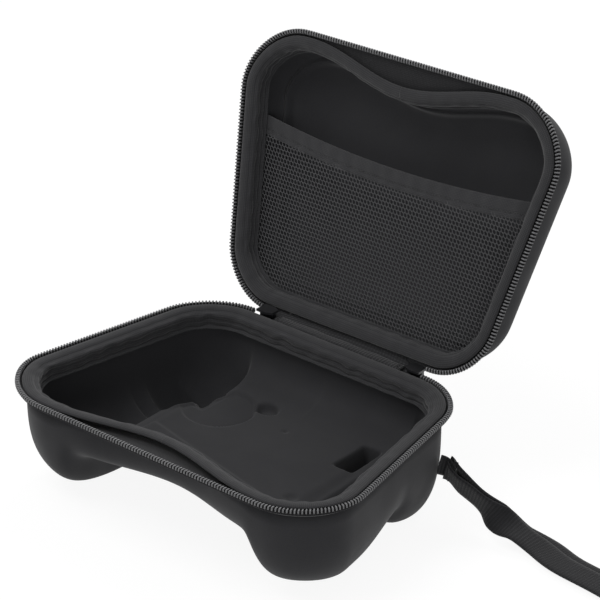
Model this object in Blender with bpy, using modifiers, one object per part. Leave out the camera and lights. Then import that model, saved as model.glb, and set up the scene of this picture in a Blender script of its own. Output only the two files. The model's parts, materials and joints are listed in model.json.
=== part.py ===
"""Controller carrying case: a moulded clamshell with a zip, a net pocket and a wrist strap.

Metres, +Z up. The case stands on its four lobes at z = 0 with its front towards -Y and its hinge at
+Y. The base is drawn with the plane of the zip at z = 0 of the case frame. The lid is drawn closed
and turned open about the hinge by its parent empty.
"""
from math import acos, atan2, cos, pi, radians, sin, tan

import bmesh
import bpy
from mathutils import Matrix, Vector

# Clearance between pieces that touch
GAP = 0.0003

# Zip line seen from above
CASE_WIDTH = 0.1795
CASE_DEPTH = 0.1237
BACK_WIDTH = 0.1396
FRONT_CORNER_RADIUS = 0.0258
BACK_CORNER_RADIUS = 0.0248
SIDE_BOW = 0.0073
END_BOW = 0.0004

# Moulded shells
RIM_WALL = 0.0038
FLOOR_WALL = 0.0050
LID_WALL = 0.0028
WALL_INSET = 0.0036
FLANGE_DROP = 0.006
STANDING_HEIGHT = 0.050
LID_RISE = 0.031
BASE_SQUARENESS = 3.6
REAR_FULLNESS = 0.35
LID_SQUARENESS = 3.3

# Lobes for the handles at the front and the triggers at the back
FLOOR_DEPTH_FRONT = 0.0290
FLOOR_DEPTH_MIDDLE = 0.0300
FLOOR_DEPTH_BACK = 0.0340
FRONT_LOBE_DEPTH = 0.0543
BACK_LOBE_DEPTH = 0.0575
LOBE_ROUNDNESS = 2.6
FRONT_LOBE_X = 0.064
FRONT_LOBE_HALF_WIDTH = 0.0186
FRONT_LOBE_BACK_Y = -0.024
FRONT_LOBE_RISE = 0.040
BACK_LOBE_X = 0.060
BACK_LOBE_HALF_WIDTH = 0.022
BACK_LOBE_Y = 0.037
BACK_LOBE_RISE = 0.024
SADDLE_DEPTH = 0.0400
SADDLE_START_X = 0.038
SADDLE_RUN = 0.034

# Shallow bay in the middle of the front
BAY_DEPTH = 0.009
BAY_HALF_WIDTH = 0.056

# Folded binding over each edge
BINDING_THICKNESS = 0.0012
BINDING_EDGE_INSET = 0.0018
BINDING_CROWN_WIDTH = 0.0050
BINDING_LIP_DROP = 0.0092
BINDING_LIP_CLEARANCE = 0.0005

# Zip
TOOTH_PITCH = 0.0036
TOOTH_WIDTH = 0.0021
TOOTH_HEIGHT = 0.0020
TOOTH_VALLEY = 0.0009
TAPE_THICKNESS = 0.0008
CHAIN_END_X = 0.0462

# Hinge
HINGE_BEHIND = 0.0023
HINGE_BELOW = 0.00217
HINGE_SKEW_Y = -0.0114
HINGE_SKEW_Z = 0.0460
LID_OPEN_ANGLE = radians(111.23)
HINGE_STRIP_LENGTH = 0.072
HINGE_STRIP_THICKNESS = 0.0010
LINING_THICKNESS = 0.0010
LINING_WIDTH = 0.0048

# Sliders and their pulls
SLIDER_LENGTH = 0.0084
SLIDER_WIDTH = 0.0066
SLIDER_HEIGHT = 0.0055
SLIDER_PLATE = 0.0010
SLIDER_POST = 0.0016
SLIDER_CLEARANCE = 0.0005
BAIL_RADIUS = 0.0020
BAIL_HOLE_RADIUS = 0.00105
BAIL_WIDTH = 0.0016
PULL_LENGTH = 0.0160
PULL_WIDTH = 0.0042
PULL_THICKNESS = 0.0010
PULL_ARM = 0.0009

# Pocket in the lid
NET_THICKNESS = 0.0008
NET_CELLS_ACROSS = 8
NET_CELLS_DEEP = 5
NET_STRAND = 0.0022
NET_BELLY = 0.0015
POCKET_SIDE_Y = -0.0200
POCKET_SAG = 0.0060
BAND_WIDTH = 0.0083
BAND_THICKNESS = 0.0013

# Wrist strap
WEBBING_WIDTH = 0.0124
WEBBING_THICKNESS = 0.0014
STRAP_LIFT = 0.0004
STRAP_Y = 0.0435
STRAP_HEIGHT = 0.0245
STRAP_STANDOFF = 0.0040
STRAP_TAB_LENGTH = 0.0090
STRAP_SHIFT = 0.0036
STRAP_REACH = 0.137

# Place of the case frame, so that the middle of the whole stands over the origin
CASE_X = -0.05942
CASE_Y = -0.03543

STATIONS = 70
SMOOTHING = 2
CORE_REACH = 0.15


def smooth(t):
    """Ease from 0 to 1 with level ends."""
    t = min(max(t, 0.0), 1.0)
    return t * t * (3 - 2 * t)


def mix(a, b, t):
    return a + (b - a) * t


def dome(u):
    """Rounded shoulder that falls from 1 at u = 0 to 0 at u = 1."""
    u = min(max(u, 0.0), 1.0)
    return (1 - u ** LOBE_ROUNDNESS) ** (1 / LOBE_ROUNDNESS)


# Zip line

def rounded_corners(corners, radii, steps):
    """Polygon with an arc at each corner."""
    points = []
    for index, corner in enumerate(corners):
        p = Vector(corner)
        before = (Vector(corners[index - 1]) - p).normalized()
        after = (Vector(corners[(index + 1) % len(corners)]) - p).normalized()
        half = acos(before.dot(after)) / 2
        centre = p + (before + after).normalized() * radii[index] / sin(half)
        first = p + before * radii[index] / tan(half) - centre
        last = p + after * radii[index] / tan(half) - centre
        start = atan2(first.y, first.x)
        turn = (atan2(last.y, last.x) - start + pi) % (2 * pi) - pi
        for step in range(steps + 1):
            angle = start + turn * step / steps
            points.append(centre + radii[index] * Vector((cos(angle), sin(angle))))
    return points


def bowed(point):
    """Push the straight sides outwards a little, as a moulded edge has them."""
    x, y = point
    side = 1 - (2 * y / CASE_DEPTH) ** 2
    end = 1 - (2 * x / CASE_WIDTH) ** 2
    x += SIDE_BOW * side * (2 * x / CASE_WIDTH)
    y += END_BOW * end * (2 * y / CASE_DEPTH)
    return Vector((x, y))


def zip_line():
    """Dense closed polyline of the zip with its running length from the middle of the front."""
    front = CASE_WIDTH / 2
    back = BACK_WIDTH / 2
    y = CASE_DEPTH / 2
    corners = [(front, -y), (back, y), (-back, y), (-front, -y)]
    radii = [FRONT_CORNER_RADIUS, BACK_CORNER_RADIUS, BACK_CORNER_RADIUS, FRONT_CORNER_RADIUS]
    ring = [bowed(p) for p in rounded_corners(corners, radii, 24)]
    ring = [Vector((0, min(p.y for p in ring)))] + ring
    lengths = [0.0]
    for a, b in zip(ring, ring[1:] + ring[:1]):
        lengths.append(lengths[-1] + (b - a).length)
    ring.append(ring[0])
    return ring, lengths


RING, RUN = zip_line()
PERIMETER = RUN[-1]


def on_zip(s):
    """Point of the zip line at a length s from the middle of the front, positive towards +X."""
    s = s % PERIMETER
    low, high = 0, len(RUN) - 1
    while high - low > 1:
        middle = (low + high) // 2
        if RUN[middle] <= s:
            low = middle
        else:
            high = middle
    t = (s - RUN[low]) / max(RUN[high] - RUN[low], 1e-9)
    return RING[low].lerp(RING[high], t)


def inward(s):
    """Unit vector from the zip line into the case."""
    step = 0.0022
    along = on_zip(s + step) - on_zip(s - step)
    return Vector((-along.y, along.x)).normalized()


def length_where_x(x):
    """Length along the back right part of the zip line at which it reaches x."""
    low, high = PERIMETER * 0.3, PERIMETER * 0.5
    for _ in range(40):
        middle = (low + high) / 2
        if on_zip(middle).x > x:
            low = middle
        else:
            high = middle
    return low


def length_where_y(y):
    """Length along the right side of the zip line at which it reaches y."""
    low, high = PERIMETER * 0.12, PERIMETER * 0.38
    for _ in range(40):
        middle = (low + high) / 2
        if on_zip(middle).y < y:
            low = middle
        else:
            high = middle
    return low


def stations(first, last, count):
    """Lengths from first to last, closer together where the line turns."""
    steps = 600
    weights = [0.0]
    for k in range(steps):
        a = first + (last - first) * k / steps
        b = first + (last - first) * (k + 1) / steps
        turn = inward(a).angle(inward(b))
        flank = SADDLE_START_X < abs(on_zip(a).x) < FRONT_LOBE_X - FRONT_LOBE_HALF_WIDTH / 2
        weights.append(weights[-1] + (b - a) / (0.005 if flank else 0.014) + turn / radians(12))
    out = []
    k = 0
    for n in range(count + 1):
        goal = weights[-1] * n / count
        while k < steps - 1 and weights[k + 1] < goal:
            k += 1
        t = (goal - weights[k]) / (weights[k + 1] - weights[k])
        out.append(first + (last - first) * (k + min(max(t, 0), 1)) / steps)
    return out


def bay(point):
    """How far the edge draws back from the zip in the middle of the front."""
    if point.y > 0 or abs(point.x) > BAY_HALF_WIDTH:
        return 0.0
    return BAY_DEPTH * cos(pi * point.x / (2 * BAY_HALF_WIDTH)) ** 2


def rim_point(s, inset, z, draws_back):
    """Point of the rim section at the length s."""
    p = on_zip(s)
    q = p + inward(s) * (inset + bay(p) * draws_back)
    return Vector((q.x, q.y, z))


# Objects

def make_material(name, colour, roughness, metallic=0.0):
    material = bpy.data.materials.new(name)
    material.use_nodes = True
    shader = material.node_tree.nodes["Principled BSDF"]
    shader.inputs["Base Color"].default_value = (*colour, 1.0)
    shader.inputs["Roughness"].default_value = roughness
    shader.inputs["Metallic"].default_value = metallic
    return material


def add_object(name, data, material, parent):
    obj = bpy.data.objects.new(name, data)
    PARTS.objects.link(obj)
    obj.data.materials.append(material)
    obj.parent = parent
    return obj


def add_empty(name, parent, matrix):
    empty = bpy.data.objects.new(name, None)
    empty.empty_display_size = 0.02
    PARTS.objects.link(empty)
    empty.parent = parent
    empty.matrix_local = matrix
    return empty


def finish(bm, name, material, parent, angle=35):
    """Turn a closed bmesh into an object with its faces pointing out."""
    bmesh.ops.recalc_face_normals(bm, faces=bm.faces)
    mesh = bpy.data.meshes.new(name)
    bm.to_mesh(mesh)
    bm.free()
    mesh.shade_smooth()
    mesh.set_sharp_from_angle(angle=radians(angle))
    return add_object(name, mesh, material, parent)


def loft(name, sections, material, parent, closed, offset=Vector((0, 0, 0))):
    """Skin a row of closed sections, as a closed ring or with both ends capped."""
    bm = bmesh.new()
    rows = [[bm.verts.new(p - offset) for p in section] for section in sections]
    pairs = list(zip(rows, rows[1:]))
    if closed:
        pairs.append((rows[-1], rows[0]))
    for a, b in pairs:
        for k in range(len(a)):
            n = (k + 1) % len(a)
            bm.faces.new((a[k], a[n], b[n], b[k]))
    if not closed:
        bm.faces.new(rows[0][::-1])
        bm.faces.new(rows[-1])
    return finish(bm, name, material, parent)


# Shells

def floor_depth(x, y):
    """Depth of the underside of the base below the zip, before it is cut level at the feet."""
    x = abs(x)
    half = CASE_DEPTH / 2
    if y < 0:
        depth = mix(FLOOR_DEPTH_MIDDLE, FLOOR_DEPTH_FRONT, smooth(-y / half))
    else:
        depth = mix(FLOOR_DEPTH_MIDDLE, FLOOR_DEPTH_BACK, smooth(y / half))
    depth = mix(depth, max(depth, SADDLE_DEPTH), smooth((x - SADDLE_START_X) / SADDLE_RUN))
    front = dome((FRONT_LOBE_X - x) / FRONT_LOBE_HALF_WIDTH)
    front *= smooth((FRONT_LOBE_BACK_Y + FRONT_LOBE_RISE - y) / FRONT_LOBE_RISE)
    back = dome((BACK_LOBE_X - x) / BACK_LOBE_HALF_WIDTH) * dome((BACK_LOBE_Y - y) / BACK_LOBE_RISE)
    return max(mix(depth, FRONT_LOBE_DEPTH, front), mix(depth, BACK_LOBE_DEPTH, back))


def base_surface(s, reach, fall):
    """Outer point of the base: reach runs from 1 at the wall to 0 inside, fall from 0 to 1."""
    edge = rim_point(s, WALL_INSET, 0, 1)
    reach **= 1 - REAR_FULLNESS * smooth(2 * edge.y / CASE_DEPTH)
    core = Vector((edge.x * 0.35, 0, 0))
    p = core.lerp(edge, reach)
    z = FLANGE_DROP + (floor_depth(p.x, p.y) - FLANGE_DROP) * fall
    return Vector((p.x, p.y, -z))


def lid_surface(s, reach, fall):
    """Outer point of the closed lid."""
    edge = rim_point(s, WALL_INSET, 0, 1)
    core = Vector((edge.x * 0.35, 0, 0))
    p = core.lerp(edge, reach)
    return Vector((p.x, p.y, FLANGE_DROP + (LID_RISE - FLANGE_DROP) * fall))


def profile(angles, inner, squareness):
    """Pairs of reach and fall down a wall that rounds into a floor, then evenly to the core."""
    pairs = []
    for angle in angles:
        reach = cos(radians(angle)) ** (2 / squareness)
        fall = sin(radians(angle)) ** (2 / squareness)
        pairs.append((reach, fall))
    last = pairs[-1][0]
    for k in range(1, inner + 1):
        reach = mix(last, CORE_REACH, k / inner)
        pairs.append((reach, (1 - reach ** squareness) ** (1 / squareness)))
    return pairs


def shell(name, surface, pairs, walls, outward, material, parent, offset):
    """Open moulded surface, thickened inwards from the rim's wall to the floor's."""
    lengths = stations(0, PERIMETER, STATIONS)[:-1]
    bm = bmesh.new()
    rows = [[bm.verts.new(surface(s, *pair) - offset) for s in lengths] for pair in pairs]
    for a, b in zip(rows, rows[1:]):
        for k in range(STATIONS):
            n = (k + 1) % STATIONS
            bm.faces.new((a[k], a[n], b[n], b[k]))
    bm.faces.new(rows[-1])
    soft = [v for row in rows[3:] for v in row]
    for _ in range(SMOOTHING):
        bmesh.ops.smooth_vert(bm, verts=soft, factor=0.5, use_axis_x=True, use_axis_y=True, use_axis_z=True)
    for vert in soft:
        vert.co.z = max(vert.co.z, -STANDING_HEIGHT)
    if outward < 0:
        bmesh.ops.reverse_faces(bm, faces=bm.faces)
    mesh = bpy.data.meshes.new(name)
    bm.to_mesh(mesh)
    bm.free()
    mesh.shade_smooth()
    obj = add_object(name, mesh, material, parent)
    thick = obj.vertex_groups.new(name="Floor")
    for n in range(len(rows)):
        thick.add(range(n * STATIONS, (n + 1) * STATIONS), smooth((n - 1) / 3), "REPLACE")
    foam = obj.modifiers.new("Foam", "SOLIDIFY")
    foam.thickness = walls[1]
    foam.offset = -1
    foam.vertex_group = "Floor"
    foam.thickness_vertex_group = walls[0] / walls[1]
    return obj


# Rim pieces

def binding_section(wall):
    """Inset and height of each corner of the binding."""
    lip = WALL_INSET + wall + BINDING_LIP_CLEARANCE
    crown = -GAP * 0.6
    edge = BINDING_EDGE_INSET
    far = edge + BINDING_CROWN_WIDTH
    t = BINDING_THICKNESS
    return [
        (edge, crown - t * 0.95),
        (edge + t, crown - 0.0002),
        (edge + BINDING_CROWN_WIDTH * 0.62, crown),
        (far, crown - t * 0.8),
        (far + (lip - far) * 0.65 + t * 0.7, crown - t * 3.2),
        (lip + t, -BINDING_LIP_DROP),
        (lip, -BINDING_LIP_DROP),
        (lip, -FLANGE_DROP + GAP),
        (far - t * 0.8, crown - t * 1.7),
        (edge + t, crown - t * 1.2),
    ]


def tape_section(wall):
    """Inset, height and share of the bay for each corner of the tape."""
    top = -GAP / 2 - TOOTH_HEIGHT - GAP
    seat = -FLANGE_DROP + GAP
    t = TAPE_THICKNESS
    inner = WALL_INSET + wall - TAPE_THICKNESS / 2
    return [
        (-0.0002, top, 0),
        (0.0022, top - t * 0.6, 0),
        (WALL_INSET, seat + t, 1),
        (inner, seat + t, 1),
        (inner, seat, 1),
        (WALL_INSET - t / 2, seat, 1),
        (0.0018, top - t * 1.7, 0),
        (-0.0002, top - t, 0),
    ]


def make_binding(name, side, wall, material, parent, offset):
    lengths = stations(0, PERIMETER, STATIONS)[:-1]
    sections = [[rim_point(s, inset, z * side, 1) for inset, z in binding_section(wall)] for s in lengths]
    return loft(name, sections, material, parent, True, offset)


def make_tape(name, side, wall, material, parent, offset):
    end = length_where_x(CHAIN_END_X)
    sections = []
    for s in stations(-end, end, STATIONS - 26):
        sections.append([rim_point(s, inset, z * side, share) for inset, z, share in tape_section(wall)])
    return loft(name, sections, material, parent, False, offset)


def make_teeth(name, side, shift, material, parent, offset):
    """Row of teeth: ridges across a narrow bead along the zip line."""
    end = length_where_x(CHAIN_END_X)
    count = int(2 * end / TOOTH_PITCH)
    pitch = 2 * end / count
    low = -GAP / 2 - TOOTH_HEIGHT
    sections = []
    for k in range(2 * count + 1):
        s = -end + k * pitch / 2
        crest = (k + shift) % 2 == 0
        top = -GAP / 2 if crest else -GAP / 2 - TOOTH_VALLEY
        face = -TOOTH_WIDTH / 2 if crest else -TOOTH_WIDTH / 2 + TOOTH_VALLEY * 0.6
        corners = [(face, low), (TOOTH_WIDTH / 2, low), (TOOTH_WIDTH / 2, top), (face, top)]
        sections.append([rim_point(s, inset, z * side, 0) for inset, z in corners])
    return loft(name, sections, material, parent, False, offset)


# Hinge strips

def lid_at_rest(point):
    """Where a point of the closed lid lies with the lid open."""
    return HINGE_POINT + HINGE_TURN @ (point - HINGE_POINT)


def make_hinge_strip(material, parent):
    """Outer fabric strip from under the base's edge to under the lid's edge."""
    seat = -FLANGE_DROP + GAP
    t = HINGE_STRIP_THICKNESS
    inner = WALL_INSET + LID_WALL - TAPE_THICKNESS / 2
    base = [(inner, seat + t / 2), (WALL_INSET, seat + t / 2), (0.0004, seat + t * 1.7)]
    steps = 8
    sections = []
    for k in range(steps + 1):
        x = HINGE_STRIP_LENGTH * (k / steps - 0.5)
        back = on_zip(length_where_x(x)).y if abs(x) > 1e-6 else on_zip(PERIMETER / 2).y
        near = [Vector((x, back - inset, z)) for inset, z in base]
        far = [lid_at_rest(Vector((x, back - inset, -z))) for inset, z in base]
        middle = (near[-1] + far[-1]) / 2 - Vector((0, 0, t * 0.6))
        path = near + [middle] + far[::-1]
        top, bottom = [], []
        for n, p in enumerate(path):
            along = path[min(n + 1, len(path) - 1)] - path[max(n - 1, 0)]
            across = Vector((0, -along.z, along.y)).normalized() * t / 2
            top.append(p + across)
            bottom.append(p - across)
        sections.append(top + bottom[::-1])
    return loft("hinge_strip", sections, material, parent, False)


def make_lining(material, parent):
    """Inner folded strip that shows behind the base's binding."""
    t = LINING_THICKNESS
    back = on_zip(PERIMETER / 2).y
    y = back - BINDING_EDGE_INSET + GAP
    top = -GAP * 2
    outline = [(y, top - t * 1.1), (y, top - t * 0.2), (y + t, top), (y + LINING_WIDTH * 0.55, top),
               (y + LINING_WIDTH, top - t * 0.4), (y + LINING_WIDTH, top - t * 1.4),
               (y + LINING_WIDTH * 0.5, top - t)]
    steps = 6
    sections = []
    for k in range(steps + 1):
        x = HINGE_STRIP_LENGTH * (k / steps - 0.5)
        sections.append([Vector((x, v, z)) for v, z in outline])
    return loft("hinge_lining", sections, material, parent, False)


# Sliders

def add_boolean(obj, cutter, operation):
    modifier = obj.modifiers.new(operation.title(), "BOOLEAN")
    modifier.operation = operation
    modifier.object = cutter
    modifier.solver = "EXACT"


def add_cylinder(name, radius, depth, collection, segments=16):
    bm = bmesh.new()
    bmesh.ops.create_cone(bm, cap_ends=True, segments=segments, radius1=radius, radius2=radius, depth=depth)
    mesh = bpy.data.meshes.new(name)
    bm.to_mesh(mesh)
    bm.free()
    obj = bpy.data.objects.new(name, mesh)
    collection.objects.link(obj)
    obj.hide_render = True
    obj.display_type = "WIRE"
    return obj


def make_slider(name, side, material, parent):
    """Slider at one end of the chain: two plates on a post, with a bail below for the pull."""
    back = on_zip(PERIMETER / 2).y
    near = back - BINDING_EDGE_INSET + SLIDER_CLEARANCE
    y = near + SLIDER_WIDTH / 2
    top = 0.0009
    low = top - SLIDER_HEIGHT
    half, post, plate = SLIDER_WIDTH / 2, SLIDER_POST / 2, SLIDER_PLATE
    outline = [(-half, low), (half, low), (half, low + plate), (post, low + plate), (post, top - plate),
               (half, top - plate), (half, top), (-half, top), (-half, top - plate), (-post, top - plate),
               (-post, low + plate), (-half, low + plate)]
    outer = CHAIN_END_X - SLIDER_CLEARANCE
    sections = []
    for t in (0.0, 0.12, 0.35, 1.0):
        x = side * (outer - SLIDER_LENGTH * (1 - t))
        narrow = mix(0.62, 1.0, smooth(t / 0.35))
        sections.append([Vector((x, y + v * narrow, z)) for v, z in outline])
    slider = loft(name, sections, material, parent, False)
    x = side * (outer - SLIDER_LENGTH / 2)
    z = low - BAIL_RADIUS + SLIDER_PLATE * 0.6
    bail = add_cylinder(name + "_bail_form", BAIL_RADIUS, BAIL_WIDTH, CUTTERS)
    hole = add_cylinder(name + "_bail_hole", BAIL_HOLE_RADIUS, BAIL_WIDTH * 2, CUTTERS)
    for form in (bail, hole):
        form.parent = parent
        form.location = (x, y, z)
        form.rotation_euler = (pi / 2, 0, 0)
    add_boolean(slider, bail, "UNION")
    add_boolean(slider, hole, "DIFFERENCE")
    return Vector((x, y, z))


def make_pull(name, pivot, material, parent):
    """Flat pull with an eye, hung through the bail: drawn in its plane, origin on its pivot."""
    bar = PULL_THICKNESS / 2
    half = PULL_WIDTH / 2
    eye_half = half - PULL_ARM
    eye_end = -(BAIL_RADIUS + GAP * 1.5)
    curve = bpy.data.curves.new(name, "CURVE")
    curve.dimensions = "2D"
    curve.fill_mode = "BOTH"
    curve.extrude = PULL_THICKNESS / 2
    outer = [(-half, bar), (half, bar), (half, -PULL_LENGTH + half)]
    for k in range(1, 8):
        angle = -pi * k / 8
        outer.append((half * cos(angle), -PULL_LENGTH + half + half * sin(angle)))
    outer.append((-half, -PULL_LENGTH + half))
    eye = [(-eye_half, -bar), (eye_half, -bar), (eye_half, eye_end), (-eye_half, eye_end)]
    for outline in (outer, eye):
        spline = curve.splines.new("POLY")
        spline.points.add(len(outline) - 1)
        for point, (u, v) in zip(spline.points, outline):
            point.co = (u, v, 0, 1)
        spline.use_cyclic_u = True
    pull = add_object(name, curve, material, parent)
    pull.location = pivot
    pull.rotation_euler = (pi / 2, 0, pi / 2)
    return pull


# Pocket

def half_width(y, inset):
    """Half the width of the lid's opening at y, measured inside the rim."""
    low, high = PERIMETER * 0.02, PERIMETER * 0.5
    best = 0.0
    for k in range(240):
        s = mix(low, high, k / 239)
        a = rim_point(s, inset, 0, 1)
        b = rim_point(s + (high - low) / 239, inset, 0, 1)
        if (a.y - y) * (b.y - y) <= 0 and a.y != b.y:
            t = (y - a.y) / (b.y - a.y)
            best = max(best, mix(a.x, b.x, t))
    return best


def mouth(x):
    """Upper edge of the pocket's band."""
    widest = CASE_WIDTH / 2 - WALL_INSET - LID_WALL
    return POCKET_SIDE_Y + POCKET_SAG * (1 - (x / widest) ** 2)


def make_band(material, parent, offset):
    """Elastic band along the mouth of the pocket."""
    inset = WALL_INSET + LID_WALL + BINDING_LIP_CLEARANCE
    low = BINDING_LIP_DROP + GAP
    high = low + BAND_THICKNESS
    steps = 14
    sections = []
    for k in range(steps + 1):
        u = 2 * k / steps - 1
        corners = []
        for run, z in ((0, low), (BAND_WIDTH, low), (BAND_WIDTH, high), (0, high)):
            x = u * half_width(POCKET_SIDE_Y + run, inset)
            corners.append(Vector((x, mouth(x) + run, z)))
        sections.append(corners)
    return loft("pocket_band", sections, material, parent, False, offset)


def make_net(material, parent, offset):
    """Net panel with diamond gaps, from the band to the hinge side."""
    inset = WALL_INSET + LID_WALL + BINDING_LIP_CLEARANCE + GAP
    back = CASE_DEPTH / 2 - inset - GAP
    z = BINDING_LIP_DROP + GAP + NET_THICKNESS
    bm = bmesh.new()
    bmesh.ops.create_grid(bm, x_segments=NET_CELLS_ACROSS, y_segments=NET_CELLS_DEEP, size=0.5)
    grid_edges = [e for e in bm.edges if not e.is_boundary]
    bmesh.ops.poke(bm, faces=bm.faces[:])
    bmesh.ops.dissolve_edges(bm, edges=grid_edges, use_verts=False)
    for vert in bm.verts:
        u = 2 * vert.co.x
        v = vert.co.y + 0.5
        x = u * half_width(0, inset)
        y = mix(mouth(x) + BAND_WIDTH + GAP, back, v)
        x = u * half_width(min(y, back - 0.0004), inset)
        bulge = NET_BELLY * cos(pi * u / 2) * sin(pi * v)
        vert.co = Vector((x, y, z - bulge)) - offset
    gaps = [f for f in bm.faces if len(f.verts) == 4]
    bmesh.ops.inset_individual(bm, faces=gaps, thickness=NET_STRAND / 2)
    bmesh.ops.delete(bm, geom=gaps, context="FACES")
    for face in bm.faces:
        face.normal_update()
        if face.normal.z < 0:
            face.normal_flip()
    mesh = bpy.data.meshes.new("pocket_net")
    bm.to_mesh(mesh)
    bm.free()
    net = add_object("pocket_net", mesh, material, parent)
    cloth = net.modifiers.new("Cloth", "SOLIDIFY")
    cloth.thickness = NET_THICKNESS
    cloth.offset = -1
    return net


# Strap

def strap_route():
    """Middle of the strap from the wall to its far end on the floor, with its width's direction."""
    s = length_where_y(STRAP_Y)
    out = -inward(s)
    out = Vector((out.x, out.y, 0))
    height = STRAP_HEIGHT - STANDING_HEIGHT
    wall = rim_point(s, WALL_INSET, height, 1)
    lie = -STANDING_HEIGHT + WEBBING_THICKNESS + STRAP_LIFT
    course = [(0.0125, 0.0010, 0.23), (0.0245, 0.0015, 0.49), (0.0325, 0.0015, 0.74), (0.0405, 0.0015, 0.88),
              (0.0515, 0.0015, 1), (0.0665, -0.0020, 1), (0.0915, -0.0050, 1), (STRAP_REACH, -0.0125, 1)]
    points = [wall, wall + out * 0.005 + Vector((0, 0, -0.0014))]
    points += [Vector((wall.x + x, wall.y + y, mix(height, lie, fall))) for x, y, fall in course]
    return points, out


def spline_point(points, t):
    """Point of a smooth curve through the given points, t from 0 to their number less one."""
    k = min(int(t), len(points) - 2)
    f = t - k
    p = [points[min(max(k + n, 0), len(points) - 1)] for n in (-1, 0, 1, 2)]
    return 0.5 * (2 * p[1] + (p[2] - p[0]) * f + (2 * p[0] - 5 * p[1] + 4 * p[2] - p[3]) * f * f
                  + (3 * p[1] - p[0] - 3 * p[2] + p[3]) * f * f * f)


def strap_frame(points, t):
    """Middle, width direction and thickness direction of the strap at t."""
    p = spline_point(points, t)
    step = 0.02
    last = len(points) - 1
    along = (spline_point(points, min(t + step, last)) - spline_point(points, max(t - step, 0))).normalized()
    flat = Vector((-along.y, along.x, 0)).normalized()
    upright = Vector((0, 0, 1))
    turn = smooth((t - 2.3) / 2.9)
    width = (upright * cos(turn * pi / 2) + flat * sin(turn * pi / 2))
    width = (width - along * width.dot(along)).normalized()
    return p, width, along.cross(width).normalized()


def make_strap(material, parent):
    """Webbing folded to a loop: out along one layer, round the end and back along the other."""
    points, out = strap_route()
    t, w = WEBBING_THICKNESS, WEBBING_WIDTH / 2
    last = len(points) - 1
    first = STRAP_STANDOFF / 0.005
    steps = 30
    near, far = [], []
    for k in range(steps + 1):
        place = mix(first, last, k / steps)
        p, width, normal = strap_frame(points, place)
        apart = mix(t + GAP, (t + GAP) / 2, smooth((place - 1.7) / 0.9))
        shift = width * STRAP_SHIFT * smooth((place - 2.2) / 3)
        near.append((p + normal * apart, width, normal))
        far.append((p - normal * apart + shift, width, normal))
    p, width, normal = strap_frame(points, last)
    along = width.cross(normal)
    shift = width * STRAP_SHIFT
    lift = (t + GAP) / 2
    bend = []
    for k in range(1, 4):
        angle = pi * k / 4
        centre = p + normal * lift * cos(angle) + along * lift * sin(angle) + shift * k / 4
        bend.append((centre, width, normal * cos(angle) + along * sin(angle)))
    back = [(p, width, -normal) for p, width, normal in far[::-1]]
    sections = []
    for p, width, normal in near + bend + back:
        a, b = width * w, normal * t / 2
        sections.append([p - a - b, p + a - b, p + a + b, p - a + b])
    return loft("wrist_strap", sections, material, parent, False)


def make_strap_tab(material, parent):
    """Short stub sewn to the wall, held between the strap's two layers."""
    points, out = strap_route()
    t, w = WEBBING_THICKNESS / 2, WEBBING_WIDTH / 2
    reach = 1 + (STRAP_TAB_LENGTH - 0.005) / 0.008
    up, across = Vector((0, 0, w)), Vector((-out.y, out.x, 0)) * t
    p = points[0] + out * GAP * 1.5
    sections = [[p - up - across, p + up - across, p + up + across, p - up + across]]
    for place in (0.4, 0.7, 0.85, 1, 1.12, 1.25, 1.38, reach):
        p, width, normal = strap_frame(points, place)
        a, b = width * w, normal * t
        sections.append([p - a + b, p + a + b, p + a - b, p - a - b])
    return loft("strap_tab", sections, material, parent, False)


# Scene

for old in list(bpy.data.objects):
    bpy.data.objects.remove(old, do_unlink=True)

PARTS = bpy.data.collections.new("controller_case")
CUTTERS = bpy.data.collections.new("cutters")
bpy.context.scene.collection.children.link(PARTS)
bpy.context.scene.collection.children.link(CUTTERS)

cover = make_material("moulded_fabric", (0.028, 0.028, 0.030), 0.85)
binding_cloth = make_material("binding_cloth", (0.045, 0.045, 0.047), 0.90)
tape_cloth = make_material("tape_cloth", (0.022, 0.022, 0.024), 0.90)
webbing = make_material("webbing", (0.020, 0.020, 0.022), 0.85)
net_cloth = make_material("net_cloth", (0.040, 0.040, 0.042), 0.80)
tooth_plastic = make_material("tooth_plastic", (0.040, 0.040, 0.042), 0.45)
slider_metal = make_material("slider_metal", (0.030, 0.030, 0.032), 0.40, 0.6)

HINGE_POINT = Vector((0, on_zip(PERIMETER / 2).y + HINGE_BEHIND, -HINGE_BELOW))
HINGE_AXIS = Vector((1, HINGE_SKEW_Y, HINGE_SKEW_Z)).normalized()
HINGE_TURN = Matrix.Rotation(-LID_OPEN_ANGLE, 3, HINGE_AXIS)
HERE = Vector((0, 0, 0))

case = add_empty("case_frame", None, Matrix.Translation((CASE_X, CASE_Y, STANDING_HEIGHT)))
lid = add_empty("lid_hinge", case, Matrix.Translation(HINGE_POINT) @ HINGE_TURN.to_4x4())

base_profile = profile((0, 3, 9, 18, 28, 38, 47, 56, 64), 5, BASE_SQUARENESS)
lid_profile = profile((0, 7, 18, 31, 45, 58, 70), 2, LID_SQUARENESS)

shell("base_shell", base_surface, base_profile, (RIM_WALL, FLOOR_WALL), -1, cover, case, HERE)
make_binding("base_binding", 1, RIM_WALL, binding_cloth, case, HERE)
make_tape("base_zip_tape", 1, RIM_WALL, tape_cloth, case, HERE)
make_teeth("base_zip_teeth", 1, 0, tooth_plastic, case, HERE)

shell("lid_shell", lid_surface, lid_profile, (LID_WALL, LID_WALL), 1, cover, lid, HINGE_POINT)
make_binding("lid_binding", -1, LID_WALL, binding_cloth, lid, HINGE_POINT)
make_tape("lid_zip_tape", -1, LID_WALL, tape_cloth, lid, HINGE_POINT)
make_teeth("lid_zip_teeth", -1, 0, tooth_plastic, lid, HINGE_POINT)
make_band(binding_cloth, lid, HINGE_POINT)
make_net(net_cloth, lid, HINGE_POINT)

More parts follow.
